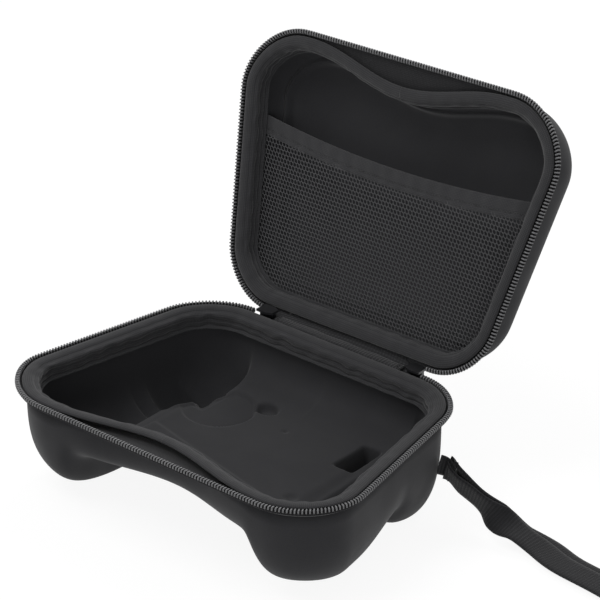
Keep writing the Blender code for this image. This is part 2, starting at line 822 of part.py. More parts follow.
make_hinge_strip(tape_cloth, case)
make_lining(binding_cloth, case)
for word, sign in (("left", -1), ("right", 1)):
    hang = make_slider("zip_slider_" + word, sign, slider_metal, case)
    make_pull("zip_pull_" + word, hang, slider_metal, case)

make_strap_tab(webbing, case)
make_strap(webbing, case)
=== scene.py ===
"""Looks of the controller carrying case: moulded halves, zip, net pocket, cloth hinge and wrist strap.

Metres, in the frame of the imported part. The base is worked out with the plane of the zip at z = 0 of the
case's own frame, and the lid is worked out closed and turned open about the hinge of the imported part.
"""
from __future__ import annotations

import json
import logging
from dataclasses import dataclass, field
from enum import Enum
from math import acos, atan2, cos, pi, radians, sin, tan
from typing import Any, Callable, Sequence

import bpy
import numpy as np
from mathutils import Matrix, Vector


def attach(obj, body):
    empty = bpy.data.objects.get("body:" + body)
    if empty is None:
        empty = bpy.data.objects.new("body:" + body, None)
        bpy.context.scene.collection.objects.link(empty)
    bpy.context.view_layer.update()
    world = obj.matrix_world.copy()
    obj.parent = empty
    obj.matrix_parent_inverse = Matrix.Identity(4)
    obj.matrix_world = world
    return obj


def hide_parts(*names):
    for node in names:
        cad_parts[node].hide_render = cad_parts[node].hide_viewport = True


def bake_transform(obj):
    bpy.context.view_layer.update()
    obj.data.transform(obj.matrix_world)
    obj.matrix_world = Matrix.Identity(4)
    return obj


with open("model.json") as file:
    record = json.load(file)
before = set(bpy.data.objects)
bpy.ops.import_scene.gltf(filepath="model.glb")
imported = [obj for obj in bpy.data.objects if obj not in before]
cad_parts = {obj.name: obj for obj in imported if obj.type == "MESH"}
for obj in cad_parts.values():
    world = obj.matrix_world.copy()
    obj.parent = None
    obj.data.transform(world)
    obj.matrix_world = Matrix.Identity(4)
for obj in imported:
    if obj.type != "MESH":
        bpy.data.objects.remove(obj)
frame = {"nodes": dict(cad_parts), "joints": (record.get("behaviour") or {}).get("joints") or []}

logging.basicConfig(level=logging.INFO, format="%(name)s: %(message)s")
LOG = logging.getLogger("case")

MM = 0.001
# Length of one band of the wave texture at scale 1
WAVE_LENGTH = 0.314159
WHITE = (1.0, 1.0, 1.0, 1.0)


# Small tools

def smooth(t: Any) -> Any:
    """Ease a number or an array from 0 to 1 with level ends."""
    t = np.clip(t, 0.0, 1.0)
    return t * t * (3 - 2 * t)


def mix(a: Any, b: Any, t: Any) -> Any:
    """Blend from a at t = 0 to b at t = 1."""
    return a + (b - a) * t


def running(line: np.ndarray) -> np.ndarray:
    """Running length at each point of a line."""
    return np.concatenate([[0], np.cumsum(np.linalg.norm(np.diff(line, axis=0), axis=1))])


def srgb(colour: str) -> tuple[float, float, float, float]:
    """Turn a hex colour as seen on a screen into the linear colour that a shader takes.

    Args:
        colour: Six hex digits.
    Returns:
        Red, green, blue and alpha.
    """
    parts = [int(colour[k:k + 2], 16) / 255 for k in (0, 2, 4)]
    linear = [c / 12.92 if c <= 0.04045 else ((c + 0.055) / 1.055) ** 2.4 for c in parts]
    return (linear[0], linear[1], linear[2], 1.0)


def tinted(colour: str, share: float) -> tuple[float, ...]:
    """Linear colour of a hex colour, made lighter or darker by a factor."""
    return tuple(share * c for c in srgb(colour)[:3]) + (1.0,)


def add_node(tree: bpy.types.NodeTree, kind: str, inputs: dict[Any, Any] | None = None,
             **settings: Any) -> bpy.types.Node:
    """Add a node, set its properties, and set or link its inputs.

    Args:
        tree: Node tree that takes the node.
        kind: Blender's name of the node type.
        inputs: Input name or number to a value, or to the output socket that feeds it.
        settings: Properties of the node itself.
    Returns:
        The new node.
    """
    made = tree.nodes.new(kind)
    for name, value in settings.items():
        setattr(made, name, value)
    for name, value in (inputs or {}).items():
        if isinstance(value, bpy.types.NodeSocket):
            tree.links.new(value, made.inputs[name])
        else:
            made.inputs[name].default_value = value
    return made


# Finishes

@dataclass(frozen=True)
class Finish:
    """Look of one real material.

    Attributes:
        name: What the material is.
        slot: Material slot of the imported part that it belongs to, or an empty text.
        colour: Hex colour as seen on a screen.
        roughness: Roughness of the surface.
        ior: Index of refraction, 1.5 for polyester, nylon, acetal and enamel alike.
    """

    name: str
    slot: str
    colour: str
    roughness: float
    ior: float = 1.5

    def build(self) -> bpy.types.Material:
        """Make the Blender material.

        Returns:
            The material with its shader and pattern.
        """
        material = bpy.data.materials.new(self.name)
        material.use_nodes = True
        tree = material.node_tree
        shader = tree.nodes["Principled BSDF"]
        shader.inputs["Base Color"].default_value = srgb(self.colour)
        shader.inputs["Roughness"].default_value = self.roughness
        shader.inputs["IOR"].default_value = self.ior
        for socket, value in self.gloss().items():
            shader.inputs[socket].default_value = value
        self.pattern(tree, shader)
        return material

    def gloss(self) -> dict[str, float]:
        """Values of the shader's other sockets, the same all over."""
        return {}

    def pattern(self, tree: bpy.types.NodeTree, shader: bpy.types.Node) -> None:
        """Add the pattern of the material to its shader. A plain finish has none."""

    @staticmethod
    def emboss(tree: bpy.types.NodeTree, shader: bpy.types.Node, width: float, height: float,
               strength: float) -> None:
        """Add an even fine relief.

        Args:
            tree: Node tree of the material.
            shader: Its Principled shader.
            width: Width of the relief.
            height: Height of the relief.
            strength: Strength of its shading.
        """
        place = add_node(tree, "ShaderNodeTexCoord").outputs["Object"]
        noise = add_node(tree, "ShaderNodeTexNoise", {"Vector": place, "Scale": 1 / width, "Detail": 1.0})
        bump = add_node(tree, "ShaderNodeBump",
                        {"Height": noise.outputs["Fac"], "Strength": strength, "Distance": height})
        tree.links.new(bump.outputs["Normal"], shader.inputs["Normal"])


@dataclass(frozen=True)
class MouldedKnit(Finish):
    """Polyester knit pressed onto hot-moulded foam: a dull skin with a fine grain and faint hollows.

    The loops of the real knit are about 0.25 mm wide, too fine to show, so the grain is drawn about twice
    as coarse.

    Attributes:
        grain: Width of a grain.
        grain_relief: Height of the grain.
        hollows: Width of the foam's hollows.
        hollow_relief: Depth of the hollows.
        light: How much lighter the tops of the grain are painted, as painted light where the bump is highest.
        sheen: Weight of the nap's sheen.
        specular: Specular level.
    """

    grain: float = 0.55 * MM
    grain_relief: float = 0.10 * MM
    hollows: float = 16 * MM
    hollow_relief: float = 0.8 * MM
    light: float = 1.5
    sheen: float = 0.14
    specular: float = 0.12

    def gloss(self) -> dict[str, float]:
        """Soft sheen of the nap and a weak highlight."""
        return {"Sheen Weight": self.sheen, "Sheen Roughness": 0.55, "Specular IOR Level": self.specular}

    def pattern(self, tree: bpy.types.NodeTree, shader: bpy.types.Node) -> None:
        """Add the grain of the knit, with painted light on the tops of the grain, and the faint hollows of
        the foam.

        Args:
            tree: Node tree of the material.
            shader: Its Principled shader.
        """
        place = add_node(tree, "ShaderNodeTexCoord").outputs["Object"]
        grain = add_node(tree, "ShaderNodeTexNoise",
                         {"Vector": place, "Scale": 1 / self.grain, "Detail": 2.0, "Roughness": 0.6})
        hollows = add_node(tree, "ShaderNodeTexNoise",
                           {"Vector": place, "Scale": 1 / self.hollows, "Detail": 3.0})
        # Painted light: the colour is made lighter on the tops of the grain, where its bump is highest
        tone = add_node(tree, "ShaderNodeMix",
                        {0: grain.outputs["Fac"], 6: srgb(self.colour), 7: tinted(self.colour, self.light)},
                        data_type="RGBA")
        shade = add_node(tree, "ShaderNodeMapRange",
                         {"Value": hollows.outputs["Fac"], "From Min": 0.35, "From Max": 0.65,
                          "To Min": self.roughness - 0.07, "To Max": self.roughness + 0.05})
        low = add_node(tree, "ShaderNodeBump",
                       {"Height": hollows.outputs["Fac"], "Strength": 0.10, "Distance": self.hollow_relief})
        fine = add_node(tree, "ShaderNodeBump",
                        {"Height": grain.outputs["Fac"], "Strength": 0.35, "Distance": self.grain_relief,
                         "Normal": low.outputs["Normal"]})
        tree.links.new(tone.outputs[2], shader.inputs["Base Color"])
        tree.links.new(shade.outputs["Result"], shader.inputs["Roughness"])
        tree.links.new(fine.outputs["Normal"], shader.inputs["Normal"])


@dataclass(frozen=True)
class WovenCloth(Finish):
    """Woven polyester cloth with ribs along and across its strip, read from the strip's running length.

    Attributes:
        across: Distance between two threads across the strip.
        along: Distance between two threads along the strip.
        relief: Height of the threads.
        nap: Weight of the nap's sheen.
        cloud: Width of the uneven patches of the dye.
        dark: Colour of the gaps between the threads, darkened as painted shade.
        light: Colour of the tops of the threads, lightened as painted light.
        specular: Specular level.
    """

    across: float = 0.9 * MM
    along: float = 0.7 * MM
    relief: float = 0.12 * MM
    nap: float = 0.25
    cloud: float = 7 * MM
    dark: float = 0.62
    light: float = 1.75
    specular: float = 0.10

    def gloss(self) -> dict[str, float]:
        """Soft sheen of the nap and a weak highlight."""
        return {"Sheen Weight": self.nap, "Sheen Roughness": 0.5, "Specular IOR Level": self.specular}

    def pattern(self, tree: bpy.types.NodeTree, shader: bpy.types.Node) -> None:
        """Add crossing threads, painted shade in their gaps, painted light on their tops, and uneven dye.

        Args:
            tree: Node tree of the material.
            shader: Its Principled shader.
        """
        place = add_node(tree, "ShaderNodeTexCoord").outputs["UV"]
        threads = []
        for axis, pitch in (("X", self.along), ("Y", self.across)):
            wave = add_node(tree, "ShaderNodeTexWave",
                            {"Vector": place, "Scale": WAVE_LENGTH / pitch, "Distortion": 0.6, "Detail": 1.0,
                             "Detail Scale": 0.5 / pitch * MM},
                            wave_type="BANDS", bands_direction=axis, wave_profile="SIN")
            threads.append(wave.outputs["Fac"])
        weave = add_node(tree, "ShaderNodeMath", {0: threads[0], 1: threads[1]}, operation="MULTIPLY")
        cloudy = add_node(tree, "ShaderNodeTexNoise",
                          {"Vector": place, "Scale": 1 / self.cloud, "Detail": 3.0})
        share = add_node(tree, "ShaderNodeMath", {0: weave.outputs[0], 1: cloudy.outputs["Fac"]},
                         operation="MULTIPLY")
        # Painted shade and light: the gaps between the threads are darkened and their tops lightened, varied
        # by the uneven dye
        tone = add_node(tree, "ShaderNodeMix",
                        {0: share.outputs[0], 6: tinted(self.colour, self.dark),
                         7: tinted(self.colour, self.light)},
                        data_type="RGBA")
        bump = add_node(tree, "ShaderNodeBump",
                        {"Height": weave.outputs[0], "Strength": 0.7, "Distance": self.relief})
        tree.links.new(tone.outputs[2], shader.inputs["Base Color"])
        tree.links.new(bump.outputs["Normal"], shader.inputs["Normal"])


@dataclass(frozen=True)
class Yarn(Finish):
    """Smooth filament yarn, or plastic moulded as fine as yarn, with a slight gloss.

    Attributes:
        twist: Distance over which the filaments turn.
        relief: Height of the filaments.
        sheen: Weight of the sheen.
        specular: Specular level.
    """

    twist: float = 0.35 * MM
    relief: float = 0.08 * MM
    sheen: float = 0.15
    specular: float = 0.35

    def gloss(self) -> dict[str, float]:
        """Faint sheen and a small highlight."""
        return {"Sheen Weight": self.sheen, "Specular IOR Level": self.specular}

    def pattern(self, tree: bpy.types.NodeTree, shader: bpy.types.Node) -> None:
        """Add the fine relief of the filaments."""
        self.emboss(tree, shader, self.twist, self.relief, 0.5)


@dataclass(frozen=True)
class Enamel(Finish):
    """Stoved enamel over die-cast zinc: an even coat with soft orange peel and a clear gloss.

    Attributes:
        peel: Width of the orange peel.
        relief: Height of the orange peel.
        metallic: Share of the zinc that shows through the thin coat.
        coat: Weight of the clear coat.
        coat_roughness: Roughness of the clear coat.
    """

    peel: float = 0.6 * MM
    relief: float = 0.04 * MM
    metallic: float = 0.35
    coat: float = 0.4
    coat_roughness: float = 0.2

    def gloss(self) -> dict[str, float]:
        """Metal under a clear coat."""
        return {"Metallic": self.metallic, "Coat Weight": self.coat, "Coat Roughness": self.coat_roughness}

    def pattern(self, tree: bpy.types.NodeTree, shader: bpy.types.Node) -> None:
        """Add the orange peel."""
        self.emboss(tree, shader, self.peel, self.relief, 0.2)


# The threads of the finer cloths are about 0.3 mm apart, too fine to show, and are drawn two to three
# times as coarse. The webbing and the hinge cloth have their real ribs.

# A dark dull skin whose soft sheen shows the moulded form
MOULDED_KNIT = MouldedKnit("moulded_knit_over_foam", "moulded_fabric", "2a2a2c", 0.72)
# A paler matt cloth that draws the rims as soft grey bands
BINDING_CLOTH = WovenCloth("folded_binding_cloth", "binding_cloth", "3f3f41", 0.86)
# A close dark weave that sets the teeth off
TAPE_CLOTH = WovenCloth("woven_zip_tape", "tape_cloth", "2e2e30", 0.82,
                        across=0.8 * MM, along=0.8 * MM, relief=0.10 * MM, nap=0.2)
# The tape's own cloth on the cord under the teeth, darkened nearly to black as painted shade in the gaps that
# part the bright teeth
TOOTH_CORD = WovenCloth("braided_tooth_cord", "tape_cloth", "161617", 0.85,
                        across=0.6 * MM, along=0.6 * MM, relief=0.10 * MM, nap=0.1)
# Cross ribs that catch the light along the strap
WEBBING = WovenCloth("ribbed_webbing", "webbing", "2c2c2e", 0.70,
                     across=0.7 * MM, along=1.5 * MM, relief=0.18 * MM, nap=0.15)
# Grey elastic with fine ribs along it
ELASTIC = WovenCloth("elastic_band", "binding_cloth", "424244", 0.80,
                     across=0.7 * MM, along=0.8 * MM, relief=0.08 * MM)
# Ribs across the hinge cloth
HINGE_CLOTH = WovenCloth("ribbed_hinge_cloth", "binding_cloth", "3a3a3c", 0.84,
                         across=1.4 * MM, along=1.6 * MM, relief=0.20 * MM)
# Pale strands over the dark inside of the pocket
NET_YARN = Yarn("knitted_net_yarn", "net_cloth", "414143", 0.62)
# Small highlights on every tooth
TOOTH_PLASTIC = Yarn("moulded_tooth_plastic", "tooth_plastic", "6e6e70", 0.34, twist=0.5 * MM)
# Thread darker than its cloth, which shows each seam as a row of small dark dashes
THREAD = Yarn("sewing_thread", "", "1c1c1e", 0.55, twist=0.3 * MM)
# Dark gloss on the small metal parts
ZINC_ENAMEL = Enamel("enamelled_zinc", "slider_metal", "2b2b2d", 0.32)


class Wardrobe:
    """Keeps one Blender material for each finish."""

    def __init__(self) -> None:
        """Start with no material made."""
        self.made: dict[str, bpy.types.Material] = {}

    def dress(self, obj: bpy.types.Object, finish: Finish) -> None:
        """Give an object a finish as its only material.

        Args:
            obj: Object to dress.
            finish: Finish it takes.
        """
        if finish.name not in self.made:
            self.made[finish.name] = finish.build()
        obj.data.materials.clear()
        obj.data.materials.append(self.made[finish.name])


WARDROBE = Wardrobe()


# Frame of the case

class Half(Enum):
    """Which half of the case a piece belongs to, with the side of the zip's plane that it lies on."""

    BASE = 1
    LID = -1

    @property
    def body(self) -> str:
        """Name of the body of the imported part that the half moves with."""
        return "base" if self is Half.BASE else "lid"


class End(Enum):
    """End of the zip, named for its side of the case."""

    LEFT = -1
    RIGHT = 1


@dataclass
class CaseFrame:
    """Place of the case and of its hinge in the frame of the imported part.

    Attributes:
        origin: Middle of the zip line.
        open_angle: Angle from closed to the rest pose.
        hinge: Point of the hinge's axis.
        turn: Rotation of the lid from closed to rest.
    """

    origin: tuple[float, float, float] = (-0.05942, -0.03543, 0.050)
    open_angle: float = radians(111.23)
    hinge: np.ndarray = field(init=False)
    turn: np.ndarray = field(init=False)

    def __post_init__(self) -> None:
        """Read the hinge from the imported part."""
        joint = next(j for j in frame["joints"] if j["child"] == "lid")
        self.hinge = np.array(joint["pos_m"], float)
        self.turn = np.array(Matrix.Rotation(-self.open_angle, 3, Vector(joint["axis"])))

    def world(self, points: np.ndarray, half: Half) -> np.ndarray:
        """Bring points of the case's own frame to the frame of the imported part.

        Args:
            points: Array whose last axis is x, y, z.
            half: Half that the points belong to.
        Returns:
            Array of the same shape.
        """
        placed = np.asarray(points, float) + np.array(self.origin)
        if half is Half.LID:
            placed = (placed - self.hinge) @ self.turn.T + self.hinge
        return placed


CASE = CaseFrame()


@dataclass(frozen=True)
class Edge:
    """Sizes that everything at the edge of both halves shares.

    Distances run inwards from the zip line. Heights run up from the zip's plane in the base, and down from
    it in the lid.

    Attributes:
        wall: Distance to the outer face of the moulded wall.
        base_wall: Thickness of the base's wall at its edge.
        lid_wall: Thickness of the lid's wall at its edge.
        flange: Depth of the edge of the moulded wall.
        seat: Height at which tapes and hinge cloth lie under that edge.
        overlap: How far they stop short of the wall's inner face.
        binding: Distance to the outer edge of the binding.
        drop: How far the binding hangs down inside.
        net: Gap between the binding's lower edge and the pocket.
    """

    wall: float = 0.0036
    base_wall: float = 0.0038
    lid_wall: float = 0.0028
    flange: float = 0.0060
    seat: float = -0.0057
    overlap: float = 0.0004
    binding: float = 0.0018
    drop: float = 0.0092
    net: float = 0.0003

    def inner(self, half: Half) -> float:
        """Distance to the inner face of the wall of a half."""
        return self.wall + (self.base_wall if half is Half.BASE else self.lid_wall)


EDGE = Edge()


@dataclass
class ZipLine:
    """Closed line of the zip seen from above, measured from the middle of its front towards +X.

    Attributes:
        width: Width at the front corners.
        depth: Depth from front to back.
        back_width: Width at the back corners.
        front_radius: Radius of the front corners.
        back_radius: Radius of the back corners.
        left_bow: How far the left side bows out.
        right_bow: How far the right side bows out.
        front_bow: How far the front bows out.
        back_bow: How far the back bows out.
        bay_depth: How far the rim is drawn in at the middle of the front.
        bay_half_width: Half the width of that bay.
        softening: Width of the blur that evens the line.
        probe: Half the length over which the line's direction is taken.
        arc_steps: Steps of the arc at each corner.
        samples: Points along the line.
        tries: Places tried in a search along the line.
        right_side: Stretch that runs up the right side, as shares of the whole line.
        xy: Points of the line, the last one the same as the first.
        run: Running length at each point.
        length: Length of the whole line.
    """

    width: float = 0.1795
    depth: float = 0.1237
    back_width: float = 0.1396
    front_radius: float = 0.0258
    back_radius: float = 0.0248
    left_bow: float = 0.0090
    right_bow: float = 0.0067
    front_bow: float = -0.0009
    back_bow: float = 0.0004
    bay_depth: float = 0.009
    bay_half_width: float = 0.056
    softening: float = 0.0022
    probe: float = 0.0022
    arc_steps: int = 24
    samples: int = 2400
    tries: int = 4000
    right_side: tuple[float, float] = (0.10, 0.46)
    xy: np.ndarray = field(init=False)
    run: np.ndarray = field(init=False)
    length: float = field(init=False)

    def __post_init__(self) -> None:
        """Draw the line, start it at the middle of its front and even it."""
        ring = self.bowed(self.rounded())
        ring = np.vstack([[0.0, ring[:, 1].min()], ring])
        ring = self.resampled(ring, self.samples)
        step = np.linalg.norm(ring[1] - ring[0])
        ring = np.stack([blurred(ring[:, k], self.softening / step, True) for k in (0, 1)], 1)
        self.xy = np.vstack([ring, ring[:1]])
        self.run = running(self.xy)
        self.length = float(self.run[-1])

    def rounded(self) -> np.ndarray:
        """Four-cornered outline with an arc at each corner.

        Returns:
            Points of the outline, anticlockwise from the front right corner.
        """
        front, back, y = self.width / 2, self.back_width / 2, self.depth / 2
        corners = [Vector(c) for c in ((front, -y), (back, y), (-back, y), (-front, -y))]
        radii = [self.front_radius, self.back_radius, self.back_radius, self.front_radius]
        points = []
        for k, (corner, radius) in enumerate(zip(corners, radii)):
            before = (corners[k - 1] - corner).normalized()
            after = (corners[(k + 1) % 4] - corner).normalized()
            half = acos(before.dot(after)) / 2
            centre = corner + (before + after).normalized() * radius / sin(half)
            first = corner + before * radius / tan(half) - centre
            last = corner + after * radius / tan(half) - centre
            start = atan2(first.y, first.x)
            swing = (atan2(last.y, last.x) - start + pi) % (2 * pi) - pi
            for angle in np.linspace(start, start + swing, self.arc_steps + 1):
                points.append(centre + radius * Vector((cos(angle), sin(angle))))
        return np.array(points)

    def bowed(self, xy: np.ndarray) -> np.ndarray:
        """Push the sides outwards a little, as a moulded edge has them.

        Args:
            xy: Points of the outline.
        Returns:
            The moved points.
        """
        x, y = xy[:, 0], xy[:, 1]
        side = 1 - (2 * y / self.depth) ** 2
        end = 1 - (2 * x / self.width) ** 2
        across = np.where(x < 0, self.left_bow, self.right_bow)
        along = np.where(y < 0, self.front_bow, self.back_bow)
        return np.stack([x + across * side * (2 * x / self.width),
                         y + along * end * (2 * y / self.depth)], 1)

    @staticmethod
    def resampled(ring: np.ndarray, count: int) -> np.ndarray:
        """Spread points evenly along a closed line.

        Args:
            ring: Corners of the line.
            count: Number of points wanted.
        Returns:
            Evenly spaced points.
        """
        closed = np.vstack([ring, ring[:1]])
        run = running(closed)
        goal = np.linspace(0, run[-1], count, endpoint=False)
        return np.stack([np.interp(goal, run, closed[:, k]) for k in (0, 1)], 1)

    def point(self, s: Any) -> np.ndarray:
        """Points x, y of the line at running lengths, which may go round more than once."""
        s = np.mod(np.asarray(s, float), self.length)
        return np.stack([np.interp(s, self.run, self.xy[:, k]) for k in (0, 1)], -1)

    def inward(self, s: Any) -> np.ndarray:
        """Unit vectors from the line into the case.

        Args:
            s: Running lengths.
        Returns:
            Array with x, y as its last axis.
        """
        s = np.asarray(s, float)
        along = self.point(s + self.probe) - self.point(s - self.probe)
        across = np.stack([-along[..., 1], along[..., 0]], -1)
        return across / np.linalg.norm(across, axis=-1, keepdims=True)

    def rim(self, s: Any, inset: Any, z: Any, share: Any = 1.0) -> np.ndarray:
        """Points of the rim.

        Args:
            s: Running lengths.
            inset: Distance inwards from the line.
            z: Height over the zip's plane.
            share: How far the point draws back with the bay in the front, from 0 to 1.
        Returns:
            Array with x, y, z as its last axis.
        """
        s, inset, z, share = np.broadcast_arrays(*(np.asarray(v, float) for v in (s, inset, z, share)))
        p = self.point(s)
        hidden = (p[..., 1] > 0) | (np.abs(p[..., 0]) > self.bay_half_width)
        bay = self.bay_depth * np.cos(pi * p[..., 0] / (2 * self.bay_half_width)) ** 2
        q = p + self.inward(s) * (inset + np.where(hidden, 0.0, bay) * share)[..., None]
        return np.concatenate([q, z[..., None]], -1)

    def where(self, axis: int, value: float, low: float, high: float) -> float:
        """Running length nearest to a value of x or y, between two shares of the whole line."""
        s = np.linspace(low, high, self.tries) * self.length
        return float(s[np.argmin(np.abs(self.point(s)[:, axis] - value))])

    def half_width(self, y: np.ndarray, inset: float) -> np.ndarray:
        """Half the width of the opening, measured inside the rim.

        Args:
            y: Places from front to back.
            inset: Distance inwards from the line.
        Returns:
            Half widths.
        """
        s = np.linspace(*self.right_side, 500) * self.length
        edge = self.rim(s, inset, 0.0)
        order = np.argsort(edge[:, 1])
        return np.interp(y, edge[order, 1], edge[order, 0])


def blurred(values: np.ndarray, sigma: float, closed: bool) -> np.ndarray:
    """Gaussian blur along the first axis.

    Args:
        values: Samples.
        sigma: Width in samples.
        closed: True where the last sample meets the first.
    Returns:
        Blurred samples.
    """
    if sigma < 0.2:
        return values
    reach = int(3 * sigma) + 1
    weights = np.exp(-0.5 * (np.arange(-reach, reach + 1) / sigma) ** 2)
    weights /= weights.sum()
    pad = [(reach, reach)] + [(0, 0)] * (values.ndim - 1)
    padded = np.pad(values, pad, mode="wrap" if closed else "edge")
    out = np.zeros_like(values, dtype=float)
    for k, weight in enumerate(weights):
        out += weight * padded[k:k + len(values)]
    return out


ZIP = ZipLine()


# Meshes

def add_mesh(name: str, points: np.ndarray, faces: Sequence[Sequence[int]] | np.ndarray,
             uv: np.ndarray | None = None) -> bpy.types.Object:
    """Make an object from points and faces.

    Args:
        name: Name of the piece.
        points: Array of x, y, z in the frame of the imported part.
        faces: Corner numbers of each face.
        uv: Running lengths of each point, in metres, for the patterns.
    Returns:
        The object, smooth shaded.
    """
    mesh = bpy.data.meshes.new(name)
    corners = faces.tolist() if isinstance(faces, np.ndarray) else faces
    mesh.from_pydata(np.asarray(points).reshape(-1, 3).tolist(), [], corners)
    mesh.validate()
    mesh.shade_smooth()
    if uv is not None:
        layer = mesh.uv_layers.new(name="lengths")
        of_loop = np.zeros(len(mesh.loops), np.int32)
        mesh.loops.foreach_get("vertex_index", of_loop)
        layer.data.foreach_set("uv", np.asarray(uv, np.float32).reshape(-1, 2)[of_loop].ravel())
    obj = bpy.data.objects.new(name, mesh)
    bpy.context.scene.collection.objects.link(obj)
    return obj


def grid_faces(rows: int, columns: int, wrap_rows: bool, wrap_columns: bool) -> np.ndarray:
    """Corner numbers of the quads of a grid.

    Args:
        rows: Number of rows.
        columns: Number of columns.
        wrap_rows: True where the last row meets the first.
        wrap_columns: True where the last column meets the first.
    Returns:
        Array of quads.
    """
    r = np.arange(rows if wrap_rows else rows - 1)
    c = np.arange(columns if wrap_columns else columns - 1)
    r, c = np.meshgrid(r, c, indexing="ij")
    r2, c2 = (r + 1) % rows, (c + 1) % columns
    quads = np.stack([r * columns + c, r * columns + c2, r2 * columns + c2, r2 * columns + c], -1)
    return quads.reshape(-1, 4)


def grid_lengths(points: np.ndarray) -> np.ndarray:
    """Running lengths over a grid, used as pattern coordinates.

    Args:
        points: Array of rows, columns and x, y, z.
    Returns:
        Array of rows, columns and two lengths: along the columns and along the rows.
    """
    along = np.zeros(points.shape[:2])
    across = np.zeros(points.shape[:2])
    along[1:] = np.cumsum(np.linalg.norm(np.diff(points, axis=0), axis=2).mean(1))[:, None]
    across[:, 1:] = np.cumsum(np.linalg.norm(np.diff(points, axis=1), axis=2), axis=1)
    return np.stack([along, across], -1)


def add_strip(name: str, sections: np.ndarray, closed: bool) -> bpy.types.Object:
    """Skin a row of closed sections.

    Args:
        name: Name of the piece.
        sections: Array of stations, corners and x, y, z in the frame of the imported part.
        closed: True where the last section meets the first, False for capped ends.
    Returns:
        The object.
    """
    count, corners = sections.shape[:2]
    faces = grid_faces(count, corners, closed, True).tolist()
    if not closed:
        faces.append(list(range(corners)))
        faces.append(list(range((count - 1) * corners, count * corners))[::-1])
    return add_mesh(name, sections, faces, grid_lengths(sections))


def add_tubes(name: str, points: np.ndarray, half: Half) -> bpy.types.Object:
    """Make many short tubes with capped ends.

    Args:
        name: Name of the piece.
        points: Array of tubes, rings, corners and x, y, z of the case's own frame.
        half: Half that they belong to.
    Returns:
        The object.
    """
    count, rings, corners = points.shape[:3]
    size = rings * corners
    one = grid_faces(rings, corners, False, True)
    faces = (one[None] + (np.arange(count) * size)[:, None, None]).reshape(-1, 4).tolist()
    for first in range(0, count * size, size):
        faces.append(list(range(first, first + corners)))
        faces.append(list(range(first + size - corners, first + size))[::-1])
    return add_mesh(name, CASE.world(points, half), faces, np.zeros((count * size, 2)))


def settle(piece: bpy.types.Object, finish: Finish, half: Half, node: str = "") -> bpy.types.Object:
    """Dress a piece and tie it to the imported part.

    Args:
        piece: The piece.
        finish: Finish it takes.
        half: Half that it moves with.
        node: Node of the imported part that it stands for, or an empty text.
    Returns:
        The piece.
    """
    WARDROBE.dress(piece, finish)
    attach(piece, half.body)
    if node:
        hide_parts(node)
    return piece


def rounded_section(corners: Sequence[tuple[float, ...]]) -> np.ndarray:
    """Round a closed section by cutting each corner once.

    Args:
        corners: Corners of the section.
    Returns:
        Rounded section.
    """
    line = np.array(corners, float)
    after = np.roll(line, -1, axis=0)
    cut = np.stack([0.75 * line + 0.25 * after, 0.25 * line + 0.75 * after], 1)
    return cut.reshape(-1, line.shape[1])


def ripple(s: np.ndarray, periods: Sequence[float], seed: int) -> np.ndarray:
    """Irregular wave along a closed line, between about -1 and 1.

    Args:
        s: Running lengths.
        periods: Mean lengths of the waves.
        seed: Seed of their phases.
    Returns:
        Height of the wave at each length.
    """
    random = np.random.default_rng(seed)
    total = np.zeros_like(s, dtype=float)
    for period in periods:
        count = max(1, round(ZIP.length / period))
        phase, slow = random.uniform(0, 2 * pi, 2)
        drift = 1.5 * np.sin(2 * pi * 3 * s / ZIP.length + slow)
        total += np.sin(2 * pi * count * s / ZIP.length + phase + drift)
    return total / len(periods)


# Moulded halves

@dataclass
class HeightMap:
    """Depth over the plan of the case, held on a grid and read back smoothly.

    Attributes:
        depth: Function that gives the depth at arrays of x and y.
        blur: Width of the blur that rounds the form.
        step: Spacing of the grid.
        half_x: Half the width of the grid.
        half_y: Half the depth of the grid.
        values: Blurred depths.
    """

    depth: Callable[[np.ndarray, np.ndarray], np.ndarray]
    blur: float
    step: float = 0.0006
    half_x: float = 0.096
    half_y: float = 0.068
    values: np.ndarray = field(init=False)

    def __post_init__(self) -> None:
        """Fill the grid and blur it both ways."""
        x = np.arange(-self.half_x, self.half_x + self.step, self.step)
        y = np.arange(-self.half_y, self.half_y + self.step, self.step)
        grid_x, grid_y = np.meshgrid(x, y, indexing="ij")
        values = self.depth(grid_x, grid_y)
        values = blurred(values, self.blur / self.step, False)
        self.values = blurred(values.T, self.blur / self.step, False).T

    def read(self, x: np.ndarray, y: np.ndarray) -> np.ndarray:
        """Depth at some points.

        Args:
            x: First coordinates.
            y: Second coordinates.
        Returns:
            Depths.
        """
        u = np.clip((x + self.half_x) / self.step, 0, self.values.shape[0] - 1.001)
        v = np.clip((y + self.half_y) / self.step, 0, self.values.shape[1] - 1.001)
        i, j = u.astype(int), v.astype(int)
        f, g = u - i, v - j
        a = self.values
        near = a[i, j] * (1 - f) + a[i + 1, j] * f
        far = a[i, j + 1] * (1 - f) + a[i + 1, j + 1] * f
        return near * (1 - g) + far * g


